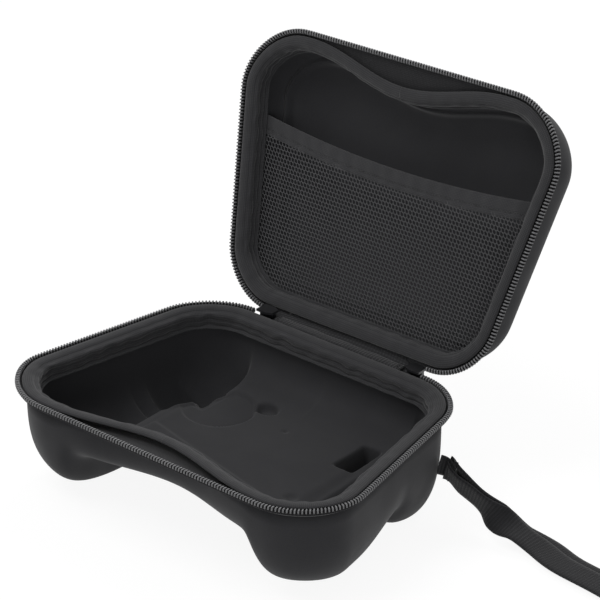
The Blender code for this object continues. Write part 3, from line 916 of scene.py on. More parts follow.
@dataclass
class Moulding:
    """Moulded half, whose rows run from the edge over the shoulder to a short line in its middle.

    Attributes:
        squareness: Power of the shoulder's curve, 2 for a round one and more for a squarer one.
        wall_angle: How far round the shoulder the rows follow its curve, before they run evenly inwards.
        wall_rows: Rows on the curve.
        roof_rows: Rows from there to the middle.
        stations: Points round each face.
        core: Length of the line in the middle, as a share of the width.
    """

    squareness: float
    wall_angle: float
    wall_rows: int
    roof_rows: int
    stations: int
    core: float = 0.35

    def shoulder(self) -> tuple[np.ndarray, np.ndarray]:
        """Place the rows.

        Returns:
            Distance of each row from the middle and its height, both as shares.
        """
        power = self.squareness
        wall = np.cos(np.linspace(0, self.wall_angle, self.wall_rows)) ** (2 / power)
        roof = np.linspace(cos(self.wall_angle) ** (2 / power), 0.0, self.roof_rows + 1)[1:]
        reach = np.concatenate([wall, roof])
        return reach, (1 - np.clip(reach, 0, 1) ** power) ** (1 / power)

    def spread(self, inset: float) -> tuple[np.ndarray, np.ndarray]:
        """Place the line in the middle of a face and the face's edge.

        Args:
            inset: Distance of the edge from the zip line.
        Returns:
            Points of the line and points of the edge.
        """
        s = np.linspace(0, ZIP.length, self.stations, endpoint=False)
        edge = ZIP.rim(s, inset, 0.0)[:, :2]
        return np.stack([edge[:, 0] * self.core, np.zeros_like(s)], 1), edge


def add_shell(name: str, outer: np.ndarray, inner: np.ndarray, half: Half, node: str) -> bpy.types.Object:
    """Join both faces of a moulded half into one closed skin.

    Args:
        name: Name of the piece.
        outer: Rows of the outer face, in the case's own frame.
        inner: Rows of the inner face.
        half: Half that it is.
        node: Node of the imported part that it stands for.
    Returns:
        The piece.
    """
    points = np.concatenate([outer, inner[::-1]])
    rows, stations = outer.shape[:2]
    faces = grid_faces(len(points), stations, True, True)
    row = faces // stations
    faces = faces[~((row == rows - 1).any(1) & (row == rows).any(1))]
    if half is Half.LID:
        faces = faces[:, ::-1]
    shell = add_mesh(name, CASE.world(points, half), faces, grid_lengths(points))
    return settle(shell, MOULDED_KNIT, half, node)


@dataclass(frozen=True)
class Span:
    """Stretch of a coordinate with eased ends.

    Attributes:
        low: Where it starts.
        high: Where it ends.
        rise: Width of the ease at its start.
        fall: Width of the ease at its end.
    """

    low: float
    high: float
    rise: float
    fall: float

    def share(self, v: np.ndarray) -> np.ndarray:
        """1 for coordinates inside the stretch and 0 outside it, eased between."""
        return smooth((v - self.low) / self.rise) * smooth((self.high - v) / self.fall)


@dataclass(frozen=True)
class Dent:
    """Round mark that the mould leaves in the floor.

    Attributes:
        x: Place of its middle across the case.
        y: Place of its middle from front to back.
        radius: Radius of its edge.
        depth: Depth in its middle.
        slope: Width over which it falls.
        stretch: Its length across the case over its length from front to back.
    """

    x: float
    y: float
    radius: float
    depth: float
    slope: float
    stretch: float = 1.0

    def press(self, x: np.ndarray, y: np.ndarray) -> np.ndarray:
        """Depth that the mark adds at some places."""
        away = np.hypot((x - self.x) / self.stretch, y - self.y)
        return self.depth * smooth((self.radius - away) / self.slope)


@dataclass
class Tray(Moulding):
    """Lower half: walls, floor, two lobes for the controller's handles and two for its triggers.

    Depths run down from the zip's plane. Places are measured from the middle of the zip line.

    Attributes:
        floor_wall: Thickness of the foam.
        thinnest: Thickness left under a print of the mould.
        standing: Depth of the plane that the case stands on.
        lift: Height of the feet over that plane.
        rear_fullness: How much fuller the shoulder is at the rear.
        front_taper: How much the front leans in.
        front_depth: Depth of the underside at the front.
        middle_depth: Depth of the underside in the middle.
        back_depth: Depth of the underside at the back.
        saddle: Depth of the flanks, where they start across, and the width of their slope.
        front_lobe: Depth, place across and half width of a front lobe, where it ends, and its slope.
        back_lobe: Depth, place across, half width, place and half length of a back lobe.
        lobe_power: Power of the curve that rounds the lobes.
        outer_blur: Rounding of the underside.
        inner_blur: Rounding of the inside.
        inner_step: Grid of the inside.
        crease: Normal of the crease that bounds the left rear pocket, and its distance from the middle.
        crease_along: Stretch of the crease from front to back.
        crease_fall: Depth of the pocket past the crease.
        crease_width: Width of that fall.
        lip: Height of the lip on the crease, its place before the crease, and its width.
        lip_end: Where the lip ends towards the back, and the width of its end.
        recess: Middle and radius of the D-shaped recess.
        recess_edge: Width of its round side and of its straight side.
        recess_gap: Distance of its straight side from the crease.
        recess_depth: Depth of its left part.
        recess_tilt: Depth that its right part adds, where that starts, and over what width.
        pit: Pit at the right end of the recess.
        slot_across: Stretch of the slot across the case.
        slot_along: Stretch of the slot from front to back.
        slot_depth: Depth of the slot's bottom.
        rib_x: Place of the rib that bounds the right rear pocket.
        rib_width: Width of the rib's side.
        rib_depth: Depth of the floor beside the rib.
        dimple: Mark at the front right.
        speck: Speck in the middle of the floor.
        ledge: Height of the ledge behind the bay, its place across and from front to back, its slant, the
            width of its side and half its length.
    """

    squareness: float = 3.6
    wall_angle: float = radians(66)
    wall_rows: int = 55
    roof_rows: int = 55
    stations: int = 520
    floor_wall: float = 0.0050
    thinnest: float = 0.0013
    standing: float = 0.050
    lift: float = 0.00002
    rear_fullness: float = 0.35
    front_taper: float = 0.17
    front_depth: float = 0.0307
    middle_depth: float = 0.0320
    back_depth: float = 0.0340
    saddle: tuple[float, float, float] = (0.0419, 0.0427, 0.0228)
    front_lobe: tuple[float, float, float, float, float] = (0.0530, 0.0644, 0.0134, -0.0161, 0.040)
    back_lobe: tuple[float, float, float, float, float] = (0.0579, 0.060, 0.022, 0.0495, 0.0333)
    lobe_power: float = 2.6
    outer_blur: float = 0.0021
    inner_blur: float = 0.0005
    inner_step: float = 0.0004
    crease: tuple[float, float, float] = (0.917, 0.398, 0.0493)
    crease_along: Span = Span(0.0065, 0.036, 0.0035, 0.005)
    crease_fall: float = 0.0075
    crease_width: float = 0.0014
    lip: tuple[float, float, float] = (0.0012, 0.0004, 0.0007)
    lip_end: tuple[float, float] = (0.0310, 0.0025)
    recess: tuple[float, float, float] = (-0.033, 0.021, 0.0168)
    recess_edge: tuple[float, float] = (0.0014, 0.0008)
    recess_gap: float = 0.0002
    recess_depth: float = 0.0013
    recess_tilt: tuple[float, float, float] = (0.0016, -0.034, 0.018)
    pit: Dent = Dent(-0.0160, 0.0340, 0.0046, 0.0050, 0.0015, 1.25)
    slot_across: Span = Span(0.0366, 0.0456, 0.0008, 0.0010)
    slot_along: Span = Span(0.0160, 0.0368, 0.0010, 0.0016)
    slot_depth: float = 0.0430
    rib_x: float = 0.0505
    rib_width: float = 0.0022
    rib_depth: float = 0.0282
    dimple: Dent = Dent(0.041, -0.017, 0.0042, 0.0012, 0.0032)
    speck: Dent = Dent(0.0027, 0.0241, 0.0016, 0.0010, 0.0012)
    ledge: tuple[float, float, float, float, float, float] = (0.0011, -0.038, -0.0070, 0.226, 0.0030, 0.045)

    def floor(self, x: np.ndarray, y: np.ndarray) -> np.ndarray:
        """Depth of the underside below the zip before it is cut level at the feet.

        Args:
            x: First coordinates.
            y: Second coordinates.
        Returns:
            Depths.
        """
        x = np.abs(x)
        half = ZIP.depth / 2
        depth = np.where(y < 0, mix(self.middle_depth, self.front_depth, smooth(-y / half)),
                         mix(self.middle_depth, self.back_depth, smooth(y / half)))
        level, start, run = self.saddle
        depth = mix(depth, np.maximum(depth, level), smooth((x - start) / run))
        low, at_x, half_width, back, rise = self.front_lobe
        front = self.dome((at_x - x) / half_width) * smooth((back + rise - y) / rise)
        deep, rear_x, rear_width, rear_y, rear_rise = self.back_lobe
        rear = self.dome((rear_x - x) / rear_width) * self.dome((rear_y - y) / rear_rise)
        return np.maximum(mix(depth, low, front), mix(depth, deep, rear))

    def dome(self, u: np.ndarray) -> np.ndarray:
        """Rounded shoulder that falls from 1 at u = 0 to 0 at u = 1."""
        return (1 - np.clip(u, 0, 1) ** self.lobe_power) ** (1 / self.lobe_power)

    def inside(self, x: np.ndarray, y: np.ndarray) -> np.ndarray:
        """Depth of the inside: the underside drawn in by the wall, with the prints of the mould.

        Args:
            x: First coordinates.
            y: Second coordinates.
        Returns:
            Depths.
        """
        wall = self.floor_wall
        depth = np.full_like(x, 1.0)
        for angle in np.linspace(0, 2 * pi, 16, endpoint=False):
            for part in (0.0, 0.5, 0.85, 1.0):
                moved = self.floor(x + wall * part * cos(angle), y + wall * part * sin(angle))
                depth = np.minimum(depth, np.minimum(moved, self.standing) - wall * np.sqrt(1 - part * part))
        return self.prints(x, y, depth)

    def rear_pocket(self, x: np.ndarray, y: np.ndarray, depth: np.ndarray) -> np.ndarray:
        """Press the left rear pocket, the lip of its crease and the D-shaped recess in front of it.

        Args:
            x: First coordinates.
            y: Second coordinates.
            depth: Depths so far.
        Returns:
            Depths with these prints.
        """
        past = self.crease[0] * np.abs(x) + self.crease[1] * y - self.crease[2]
        left = (x < 0) * self.crease_along.share(y)
        depth = depth + self.crease_fall * left * smooth(past / self.crease_width)
        height, before, width = self.lip
        lip = left * smooth((self.lip_end[0] - y) / self.lip_end[1]) * np.exp(-((past + before) / width) ** 2)
        away = np.hypot(x - self.recess[0], y - self.recess[1])
        dent = (smooth((self.recess[2] - away) / self.recess_edge[0])
                * smooth((-self.recess_gap - past) / self.recess_edge[1]))
        more, start, run = self.recess_tilt
        return depth + dent * (self.recess_depth + more * smooth((x - start) / run)) - height * lip

    def prints(self, x: np.ndarray, y: np.ndarray, depth: np.ndarray) -> np.ndarray:
        """Press the details of the mould into the floor.

        A slanting crease bounds the left rear pocket, with a D-shaped recess and a pit in front of it. A rib
        with a slot beside it bounds the right rear pocket, and a dimple marks the front right.

        Args:
            x: First coordinates.
            y: Second coordinates.
            depth: Depths of the plain inside.
        Returns:
            Depths with the details.
        """
        shelf = mix(np.minimum(depth, self.rib_depth), depth, smooth((x - self.rib_x) / self.rib_width))
        depth = self.rear_pocket(x, y, np.where(x > 0, shelf, depth))
        depth = depth + self.pit.press(x, y)
        slot = self.slot_across.share(x) * self.slot_along.share(y)
        depth = mix(depth, np.maximum(depth, self.slot_depth), slot)
        for dent in (self.dimple, self.speck):
            depth = depth + dent.press(x, y)
        height, at_x, at_y, slant, width, half_length = self.ledge
        front = at_y - (x - at_x) * slant
        depth = depth - height * smooth((front - y) / width) * (np.abs(x) < half_length)
        most = np.minimum(self.floor(x, y), self.standing) - self.thinnest
        return np.minimum(depth, most)

    def side(self, depth: HeightMap, inset: float, flat: bool) -> np.ndarray:
        """One face of the tray.

        Args:
            depth: Map of its depths.
            inset: Distance of its edge from the zip line.
            flat: True where the face is cut level at the feet.
        Returns:
            Array of rows, stations and x, y, z of the case's own frame.
        """
        core, edge = self.spread(inset)
        reach, fall = self.shoulder()
        share = (1 - self.rear_fullness * smooth(2 * edge[:, 1] / ZIP.depth)
                 + self.front_taper * smooth(-2 * edge[:, 1] / ZIP.depth))
        reach = reach[:, None] ** share[None, :]
        p = core[None] + (edge - core)[None] * reach[..., None]
        z = EDGE.flange + (depth.read(p[..., 0], p[..., 1]) - EDGE.flange) * fall[:, None]
        if flat:
            z = np.minimum(z, self.standing - self.lift)
        return np.concatenate([p, -z[..., None]], -1)

    def build(self) -> list[bpy.types.Object]:
        """Make the tray.

        Returns:
            The tray.
        """
        outer = self.side(HeightMap(self.floor, self.outer_blur), EDGE.wall, True)
        hollow = HeightMap(self.inside, self.inner_blur, self.inner_step)
        inner = self.side(hollow, EDGE.inner(Half.BASE), False)
        return [add_shell("moulded_tray", outer, inner, Half.BASE, "base_shell")]


@dataclass
class Cover(Moulding):
    """Upper half: a shallow moulded lid with well-rounded shoulders.

    Attributes:
        rise: Height of the lid over the zip's plane.
        bead: Height of the bead where the wall turns into the roof inside.
        bead_at: Place of the bead, as a share of the way from the middle.
        bead_width: Width of the bead, as such a share.
    """

    squareness: float = 3.3
    wall_angle: float = radians(74)
    wall_rows: int = 88
    roof_rows: int = 44
    stations: int = 440
    rise: float = 0.031
    bead: float = 0.0027
    bead_at: float = 0.905
    bead_width: float = 0.024

    def side(self, inset: float, rise: float, bead: float) -> np.ndarray:
        """One face of the lid.

        Args:
            inset: Distance of its edge from the zip line.
            rise: Height of its top over the zip's plane.
            bead: Height of the bead that stands where the wall turns into the roof.
        Returns:
            Array of rows, stations and x, y, z of the case's own frame.
        """
        core, edge = self.spread(inset)
        reach, fall = self.shoulder()
        p = core[None] + (edge - core)[None] * reach[:, None, None]
        z = EDGE.flange + (rise - EDGE.flange) * fall
        z = z - bead * np.exp(-((reach - self.bead_at) / self.bead_width) ** 2)
        return np.concatenate([p, np.broadcast_to(z[:, None], p.shape[:2])[..., None]], -1)

    def build(self) -> list[bpy.types.Object]:
        """Make the lid.

        Returns:
            The lid.
        """
        outer = self.side(EDGE.wall, self.rise, 0.0)
        inner = self.side(EDGE.inner(Half.LID), self.rise - EDGE.lid_wall, self.bead)
        return [add_shell("moulded_lid", outer, inner, Half.LID, "lid_shell")]


# Rims

@dataclass
class Binding:
    """Cloth folded over the edge of a half and sewn down, with the puckers of its seam.

    Attributes:
        half: Half that it binds.
        seed: Seed of its puckers.
        thickness: Thickness of the cloth.
        top: Height of its crown against the zip's plane.
        crown: Width of its crown.
        clearance: Gap between the wall's inner face and the cloth in front of it.
        stations: Sections round the rim.
        pucker: Depth of the puckers.
        pucker_waves: Mean lengths of the puckers.
        wander: How far the folds wander up and down.
        wander_waves: Mean lengths of that wander.
        swell: Height of the waves of the crown.
        swell_waves: Mean lengths of these waves.
    """

    half: Half
    seed: int
    thickness: float = 0.0012
    top: float = -0.00018
    crown: float = 0.0050
    clearance: float = 0.0005
    stations: int = 720
    pucker: float = 0.00022
    pucker_waves: tuple[float, ...] = (0.0123, 0.0091, 0.0172)
    wander: float = 0.00070
    wander_waves: tuple[float, ...] = (0.027, 0.0163, 0.0111)
    swell: float = 0.00010
    swell_waves: tuple[float, ...] = (0.011, 0.0083)

    def section(self) -> np.ndarray:
        """Inset and height of the cloth: over the crown, down the folds inside, and back under the edge.

        Returns:
            Rounded closed section.
        """
        t, top, edge = self.thickness, self.top, EDGE.binding
        lip, far = EDGE.inner(self.half) + self.clearance, edge + self.crown
        outside = [(edge, top - t * 0.95), (edge + t * 0.5, top - 0.0003), (edge + t * 1.6, top),
                   (edge + self.crown * 0.60, top), (far - t * 0.2, top - t * 0.35),
                   (far + t * 0.2, top - t * 1.1)]
        folds = [(0.70, 0.20), (1.20, 0.30), (1.15, 0.42), (0.35, 0.53), (1.05, 0.62), (1.00, 0.74),
                 (0.30, 0.84), (1.60, 0.905), (1.75, 0.97), (0.95, 1.01)]
        drop = [(lip + t * out, -EDGE.drop * down) for out, down in folds]
        inside = [(lip, -EDGE.drop), (lip, EDGE.seat), (far - t * 0.8, top - t * 1.7),
                  (edge + t, top - t * 1.2)]
        return rounded_section(outside + drop + inside)

    def build(self) -> list[bpy.types.Object]:
        """Make the binding with its puckers.

        Returns:
            The binding.
        """
        section = self.section()
        s = np.linspace(0, ZIP.length, self.stations, endpoint=False)[:, None]
        inset = np.broadcast_to(section[None, :, 0], (self.stations, len(section))).copy()
        z = np.broadcast_to(section[None, :, 1], inset.shape).copy()
        drawn = Span(0.0014, EDGE.drop * 0.95, 0.0012, 0.0012).share(-z)
        facing = smooth((inset - EDGE.inner(self.half) - self.clearance - 0.0002) / 0.0004)
        wander = ripple(s, self.wander_waves, self.seed + 3)
        inset = inset + drawn * facing * self.pucker * ripple(s + z * 0.8, self.pucker_waves, self.seed)
        z = z + drawn * facing * self.wander * wander
        crown = smooth((inset - EDGE.binding - 0.001) / 0.003)
        z = z + crown * self.swell * ripple(s, self.swell_waves, self.seed + 7)
        sections = ZIP.rim(s, inset, z * self.half.value)
        binding = add_strip(f"{self.half.body}_edge_binding", CASE.world(sections, self.half), True)
        if self.half is Half.LID:
            binding.data.flip_normals()
        return [settle(binding, BINDING_CLOTH, self.half, f"{self.half.body}_binding")]


@dataclass
class ZipHalf:
    """Tape, cord and teeth of one half of the zip.

    Attributes:
        half: Half that they belong to.
        pitch: Distance between two teeth.
        tooth_along: Length of a tooth along the zip.
        tooth_height: Height of a tooth.
        tooth_top: Height of the teeth's tops against the zip's plane.
        tooth_lean: How far a tooth leans along the zip on its way inwards.
        tooth_rings: Rings of a tooth: place along it and size, as shares.
        end_x: Place along the back at which the teeth end.
        tape_end_x: Place along the back at which the tape ends.
        tape_thickness: Thickness of the tape.
        tape_gap: Gap between the teeth and the tape.
        tape_stations: Sections of the tape.
        cord_stations: Sections of the cord.
    """

    half: Half
    pitch: float = 0.00150
    tooth_along: float = 0.00066
    tooth_height: float = 0.0020
    tooth_top: float = -0.00015
    tooth_lean: float = 0.16
    tooth_rings: tuple[tuple[float, float], ...] = ((-0.5, 0.72), (-0.34, 0.97), (0.34, 0.97), (0.5, 0.72))
    end_x: float = 0.0462
    tape_end_x: float = 0.0340
    tape_thickness: float = 0.0008
    tape_gap: float = 0.0003
    tape_stations: int = 440
    cord_stations: int = 420

    def reach(self, x: float) -> float:
        """Running length from the middle of the front to a place along the back."""
        return ZIP.where(0, x, 0.3, 0.5)

    def sweep(self, name: str, corners: Sequence[tuple[float, ...]], end_x: float,
              stations: int) -> bpy.types.Object:
        """Sweep a section along the zip.

        Args:
            name: Name of the piece.
            corners: Inset and height of each corner, and how far it draws back with the bay.
            end_x: Place along the back at which the piece ends.
            stations: Number of sections.
        Returns:
            The piece.
        """
        section = rounded_section(corners)
        s = np.linspace(-self.reach(end_x), self.reach(end_x), stations)[:, None]
        height = section[None, :, 1] * self.half.value
        sections = ZIP.rim(s, section[None, :, 0], height, section[None, :, 2])
        return add_strip(name, CASE.world(sections, self.half), False)

    def tape(self) -> bpy.types.Object:
        """Make the woven tape.

        Returns:
            The tape.
        """
        t, seat = self.tape_thickness, EDGE.seat
        top = self.tooth_top - self.tooth_height - self.tape_gap
        inner = EDGE.inner(self.half) - EDGE.overlap
        corners = [(-0.0002, top, 0), (0.0010, top, 0), (0.0022, top - t * 0.6, 0), (EDGE.wall, seat + t, 1),
                   (inner, seat + t, 1), (inner, seat, 1), (0.0032, seat, 1), (0.0018, top - t * 1.7, 0),
                   (0.0008, top - t * 1.1, 0), (-0.0002, top - t, 0)]
        tape = self.sweep(f"{self.half.body}_woven_tape", corners, self.tape_end_x, self.tape_stations)
        return settle(tape, TAPE_CLOTH, self.half, f"{self.half.body}_zip_tape")

    def cord(self) -> bpy.types.Object:
        """Make the cord that the teeth are moulded on, darkened nearly to black as painted shade between the
        teeth.

        Returns:
            The cord.
        """
        low, top = self.tooth_top - self.tooth_height - 0.0001, self.tooth_top - 0.0006
        corners = [(-0.00085, low, 0), (0.00085, low, 0), (0.00080, top, 0), (-0.00075, top, 0)]
        cord = self.sweep(f"{self.half.body}_tooth_cord", corners, self.end_x, self.cord_stations)
        return settle(cord, TOOTH_CORD, self.half)

    def teeth(self) -> bpy.types.Object:
        """Make the row of rounded teeth.

        Returns:
            The teeth.
        """
        reach = self.reach(self.end_x)
        count = int(2 * reach / self.pitch)
        centres = (np.arange(count) + 0.5) * (2 * reach / count) - reach
        low, top = self.tooth_top - self.tooth_height, self.tooth_top
        outline = rounded_section([(-0.00120, low + 0.0002), (0.00105, low), (0.00105, top - 0.0003),
                                   (0.0006, top), (-0.0008, top), (-0.00112, top - 0.0006)])
        middle = outline.mean(0)
        rings = []
        for along, size in self.tooth_rings:
            shape = middle + (outline - middle) * size
            lean = (shape[None, :, 0] - middle[0]) * self.tooth_lean
            s = centres[:, None] + along * self.tooth_along + lean
            rings.append(ZIP.rim(s, shape[None, :, 0], shape[None, :, 1] * self.half.value, 0.0))
        teeth = add_tubes(f"{self.half.body}_fine_teeth", np.stack(rings, 1), self.half)
        return settle(teeth, TOOTH_PLASTIC, self.half, f"{self.half.body}_zip_teeth")

    def build(self) -> list[bpy.types.Object]:
        """Make the tape, the cord and the teeth."""
        return [self.tape(), self.cord(), self.teeth()]


@dataclass
class Stitches:
    """Row of short threads along a line.

    Attributes:
        name: Name of the piece.
        line: Points of the line, in the case's own frame.
        normal: Direction out of the cloth, one or one for each point.
        half: Half that they belong to.
        pitch: Distance from one thread to the next.
        thread: Thickness of the thread.
        share: Length of a thread, as a share of the pitch.
        rings: Rings of each thread.
        corners: Corners of each ring.
        arch: How high the thread arches, as a share of half its thickness.
        sink: How deep its ends lie, as such a share.
    """

    name: str
    line: np.ndarray
    normal: np.ndarray
    half: Half
    pitch: float
    thread: float
    share: float = 0.62
    rings: int = 5
    corners: int = 6
    arch: float = 0.9
    sink: float = 0.25

    def build(self) -> list[bpy.types.Object]:
        """Make the threads as small bent tubes.

        Returns:
            The threads.
        """
        run = running(self.line)
        count = max(1, int(run[-1] / self.pitch))
        starts = (np.arange(count) + 0.5 * (1 - self.share)) * (run[-1] / count)
        steps = np.linspace(0, 1, self.rings)
        goal = starts[:, None] + steps[None] * self.share * self.pitch
        centre = np.stack([np.interp(goal, run, self.line[:, k]) for k in range(3)], -1)
        normals = np.broadcast_to(self.normal, self.line.shape)
        normal = np.stack([np.interp(goal, run, normals[:, k]) for k in range(3)], -1)
        along = centre[:, -1:] - centre[:, :1]
        along = np.broadcast_to(along / np.linalg.norm(along, axis=-1, keepdims=True), centre.shape)
        across = np.cross(along, normal)
        lift = (np.sin(steps * pi) * self.arch - self.sink)[None, :, None] * self.thread / 2
        angles = np.linspace(0, 2 * pi, self.corners, endpoint=False)
        ring = (np.cos(angles)[None, None, :, None] * across[:, :, None]
                + np.sin(angles)[None, None, :, None] * normal[:, :, None]) * self.thread / 2
        points = centre[:, :, None] + normal[:, :, None] * lift[:, :, None] + ring
        return [settle(add_tubes(self.name, points, self.half), THREAD, self.half)]


# Pocket

@dataclass
class Pocket:
    """Net panel with an elastic band along its mouth, behind the lid's rim.

    Attributes:
        side_y: Place of the mouth at its ends.
        sag: How far the middle of the mouth lies behind its ends.
        band_width: Width of the elastic band.
        band_thickness: Thickness of the band.
        band_gap: Gap between the wall and the ends of the band.
        gather: Height of the gathers along the band.
        gathers: How many radians of them lie in half the band.
        seam: Place of the band's seam, as a share of its width.
        seam_reach: Half the length of the seam.
        cell: Width of a cell of the net.
        columns: First and last column of cells.
        stretch: Height of a cell over that of an even one.
        hole: Width of a cell's opening over that of the cell.
        yarn_edge: Width over which the yarn rounds off, as such a share.
        slant: How far the rows lean sideways.
        net_thickness: Thickness of the net.
        net_gap: Gap between the wall and the net.
        net_size: Width and height of the net laid flat.
        belly: How far the net sags.
    """

    side_y: float = -0.0200
    sag: float = 0.0060
    band_width: float = 0.0083
    band_thickness: float = 0.0013
    band_gap: float = 0.0005
    gather: float = 0.00012
    gathers: float = 61
    seam: float = 0.68
    seam_reach: float = 0.079
    cell: float = 0.00198
    columns: tuple[int, int] = (-60, 48)
    stretch: float = 1.06
    hole: float = 0.785
    yarn_edge: float = 0.12
    slant: float = 0.40
    net_thickness: float = 0.00040
    net_gap: float = 0.0002
    net_size: tuple[float, float] = (0.162, 0.066)
    belly: float = 0.0015

    def mouth(self, x: np.ndarray) -> np.ndarray:
        """Places of the band's upper edge from front to back, at places across the case."""
        widest = ZIP.width / 2 - EDGE.inner(Half.LID)
        return self.side_y + self.sag * (1 - (x / widest) ** 2)

    def band(self) -> bpy.types.Object:
        """Make the elastic band.

        Returns:
            The band.
        """
        low, t, w = EDGE.drop + EDGE.net, self.band_thickness, self.band_width
        corners = [(0.0, low + t * 0.1), (0.0006, low), (w * 0.30, low + 0.0001), (w * 0.62, low + 0.0001),
                   (w * self.seam, low + 0.0003), (w * 0.74, low + 0.0001), (w - 0.0005, low),
                   (w, low + t * 0.2), (w, low + t * 0.8), (w * 0.5, low + t * 0.85), (0.0, low + t * 0.8)]
        section = rounded_section(corners)
        u = np.linspace(-1, 1, 180)[:, None]
        half = ZIP.half_width(self.side_y + section[:, 0], EDGE.inner(Half.LID) + self.band_gap)[None, :]
        x = u * half
        y = self.mouth(x) + section[None, :, 0]
        seen = section[None, :, 1] < low + t / 2
        z = np.broadcast_to(section[None, :, 1], x.shape) - self.gather * np.sin(u * self.gathers) * seen
        band = add_strip("elastic_pocket_band", CASE.world(np.stack([x, y, z], -1), Half.LID), False)
        return settle(band, ELASTIC, Half.LID, "pocket_band")

    def sagged(self, x: np.ndarray, y: np.ndarray, half: np.ndarray, back: float) -> np.ndarray:
        """How far the net sags towards the opening.

        Args:
            x: Places across the case.
            y: Places from front to back.
            half: Half width of the panel at those places.
            back: Place at which the panel ends.
        Returns:
            Sag of the net.
        """
        start = self.mouth(x) + self.band_width
        v = np.clip((y - start) / (back - start), 0, 1)
        u = np.clip(x / half, -1, 1)
        return self.belly * np.cos(pi * u / 2) * np.sin(pi * v) * (1 + 0.25 * np.sin(7 * x / 0.08 + 3 * v))

    def cells(self, inset: float, back: float) -> np.ndarray:
        """Middles of the cells that lie inside the panel.

        Args:
            inset: Distance of the panel's edge from the zip line.
            back: Place at which the panel ends.
        Returns:
            Array of x and y.
        """
        step_x, step_y = self.cell, self.cell * 0.866 * self.stretch
        middles = []
        for row in range(-2, int((back - self.side_y) / step_y) + 4):
            y = self.side_y + row * step_y
            shift = 0.5 * step_x * (row % 2)
            for column in range(self.columns[0], self.columns[1] + 1):
                middles.append((column * step_x + shift + self.slant * (y - self.side_y), y))
        x, y = np.array(middles).T
        start = self.mouth(x) + self.band_width * 0.9
        return np.stack([x, y], 1)[(np.abs(x) < ZIP.half_width(y, inset)) & (y > start) & (y < back)]

    def net(self) -> bpy.types.Object:
        """Make the net as a plate of hexagonal cells with open middles.

        Returns:
            The net.
        """
        inset = EDGE.inner(Half.LID) + self.net_gap
        back = ZIP.depth / 2 - inset
        centres = self.cells(inset, back)
        angles = np.radians(np.arange(6) * 60 + 30)
        corner = np.stack([np.cos(angles), np.sin(angles) * self.stretch], 1) * self.cell / np.sqrt(3)
        corner[:, 0] += self.slant * corner[:, 1]
        layers = []
        for side in (-0.5, 0.5):
            for share, tuck in ((1.0, 0.0), (self.hole + self.yarn_edge, 0.35), (self.hole, 1.0)):
                x, y = np.moveaxis(centres[:, None] + corner[None] * share, -1, 0)
                half = ZIP.half_width(y, inset)
                x, y = np.clip(x, -half, half), np.minimum(y, back)
                z = EDGE.drop + EDGE.net + self.net_thickness / 2 - self.sagged(x, y, half, back)
                z = z + side * self.net_thickness * (1 - 0.8 * tuck)
                layers.append(np.stack([x, y, z], -1))
        faces = []
        first = np.arange(len(centres)) * len(layers) * 6
        order = [0, 1, 2, 5, 4, 3]
        for a, b in zip(order, order[1:]):
            for k in range(6):
                n = (k + 1) % 6
                faces.append(np.stack([first + a * 6 + k, first + a * 6 + n, first + b * 6 + n,
                                       first + b * 6 + k], 1))
        net = add_mesh("knitted_pocket_net", CASE.world(np.stack(layers, 1), Half.LID), np.concatenate(faces))
        return settle(net, NET_YARN, Half.LID, "pocket_net")

    def build(self) -> list[bpy.types.Object]:
        """Make the pocket.

        Returns:
            The band, the net and the band's stitches.
        """
        band, net = self.band(), self.net()
        x = np.linspace(-self.seam_reach, self.seam_reach, 200)
        y = self.mouth(x) + self.band_width * self.seam
        line = np.stack([x, y, np.full_like(x, EDGE.drop + EDGE.net + self.gather)], 1)
        stitches = Stitches("band_stitches", line, np.array([0.0, 0.0, -1.0]), Half.LID, 0.0026, 0.00038)
        return [band, net] + stitches.build()


# Hinge

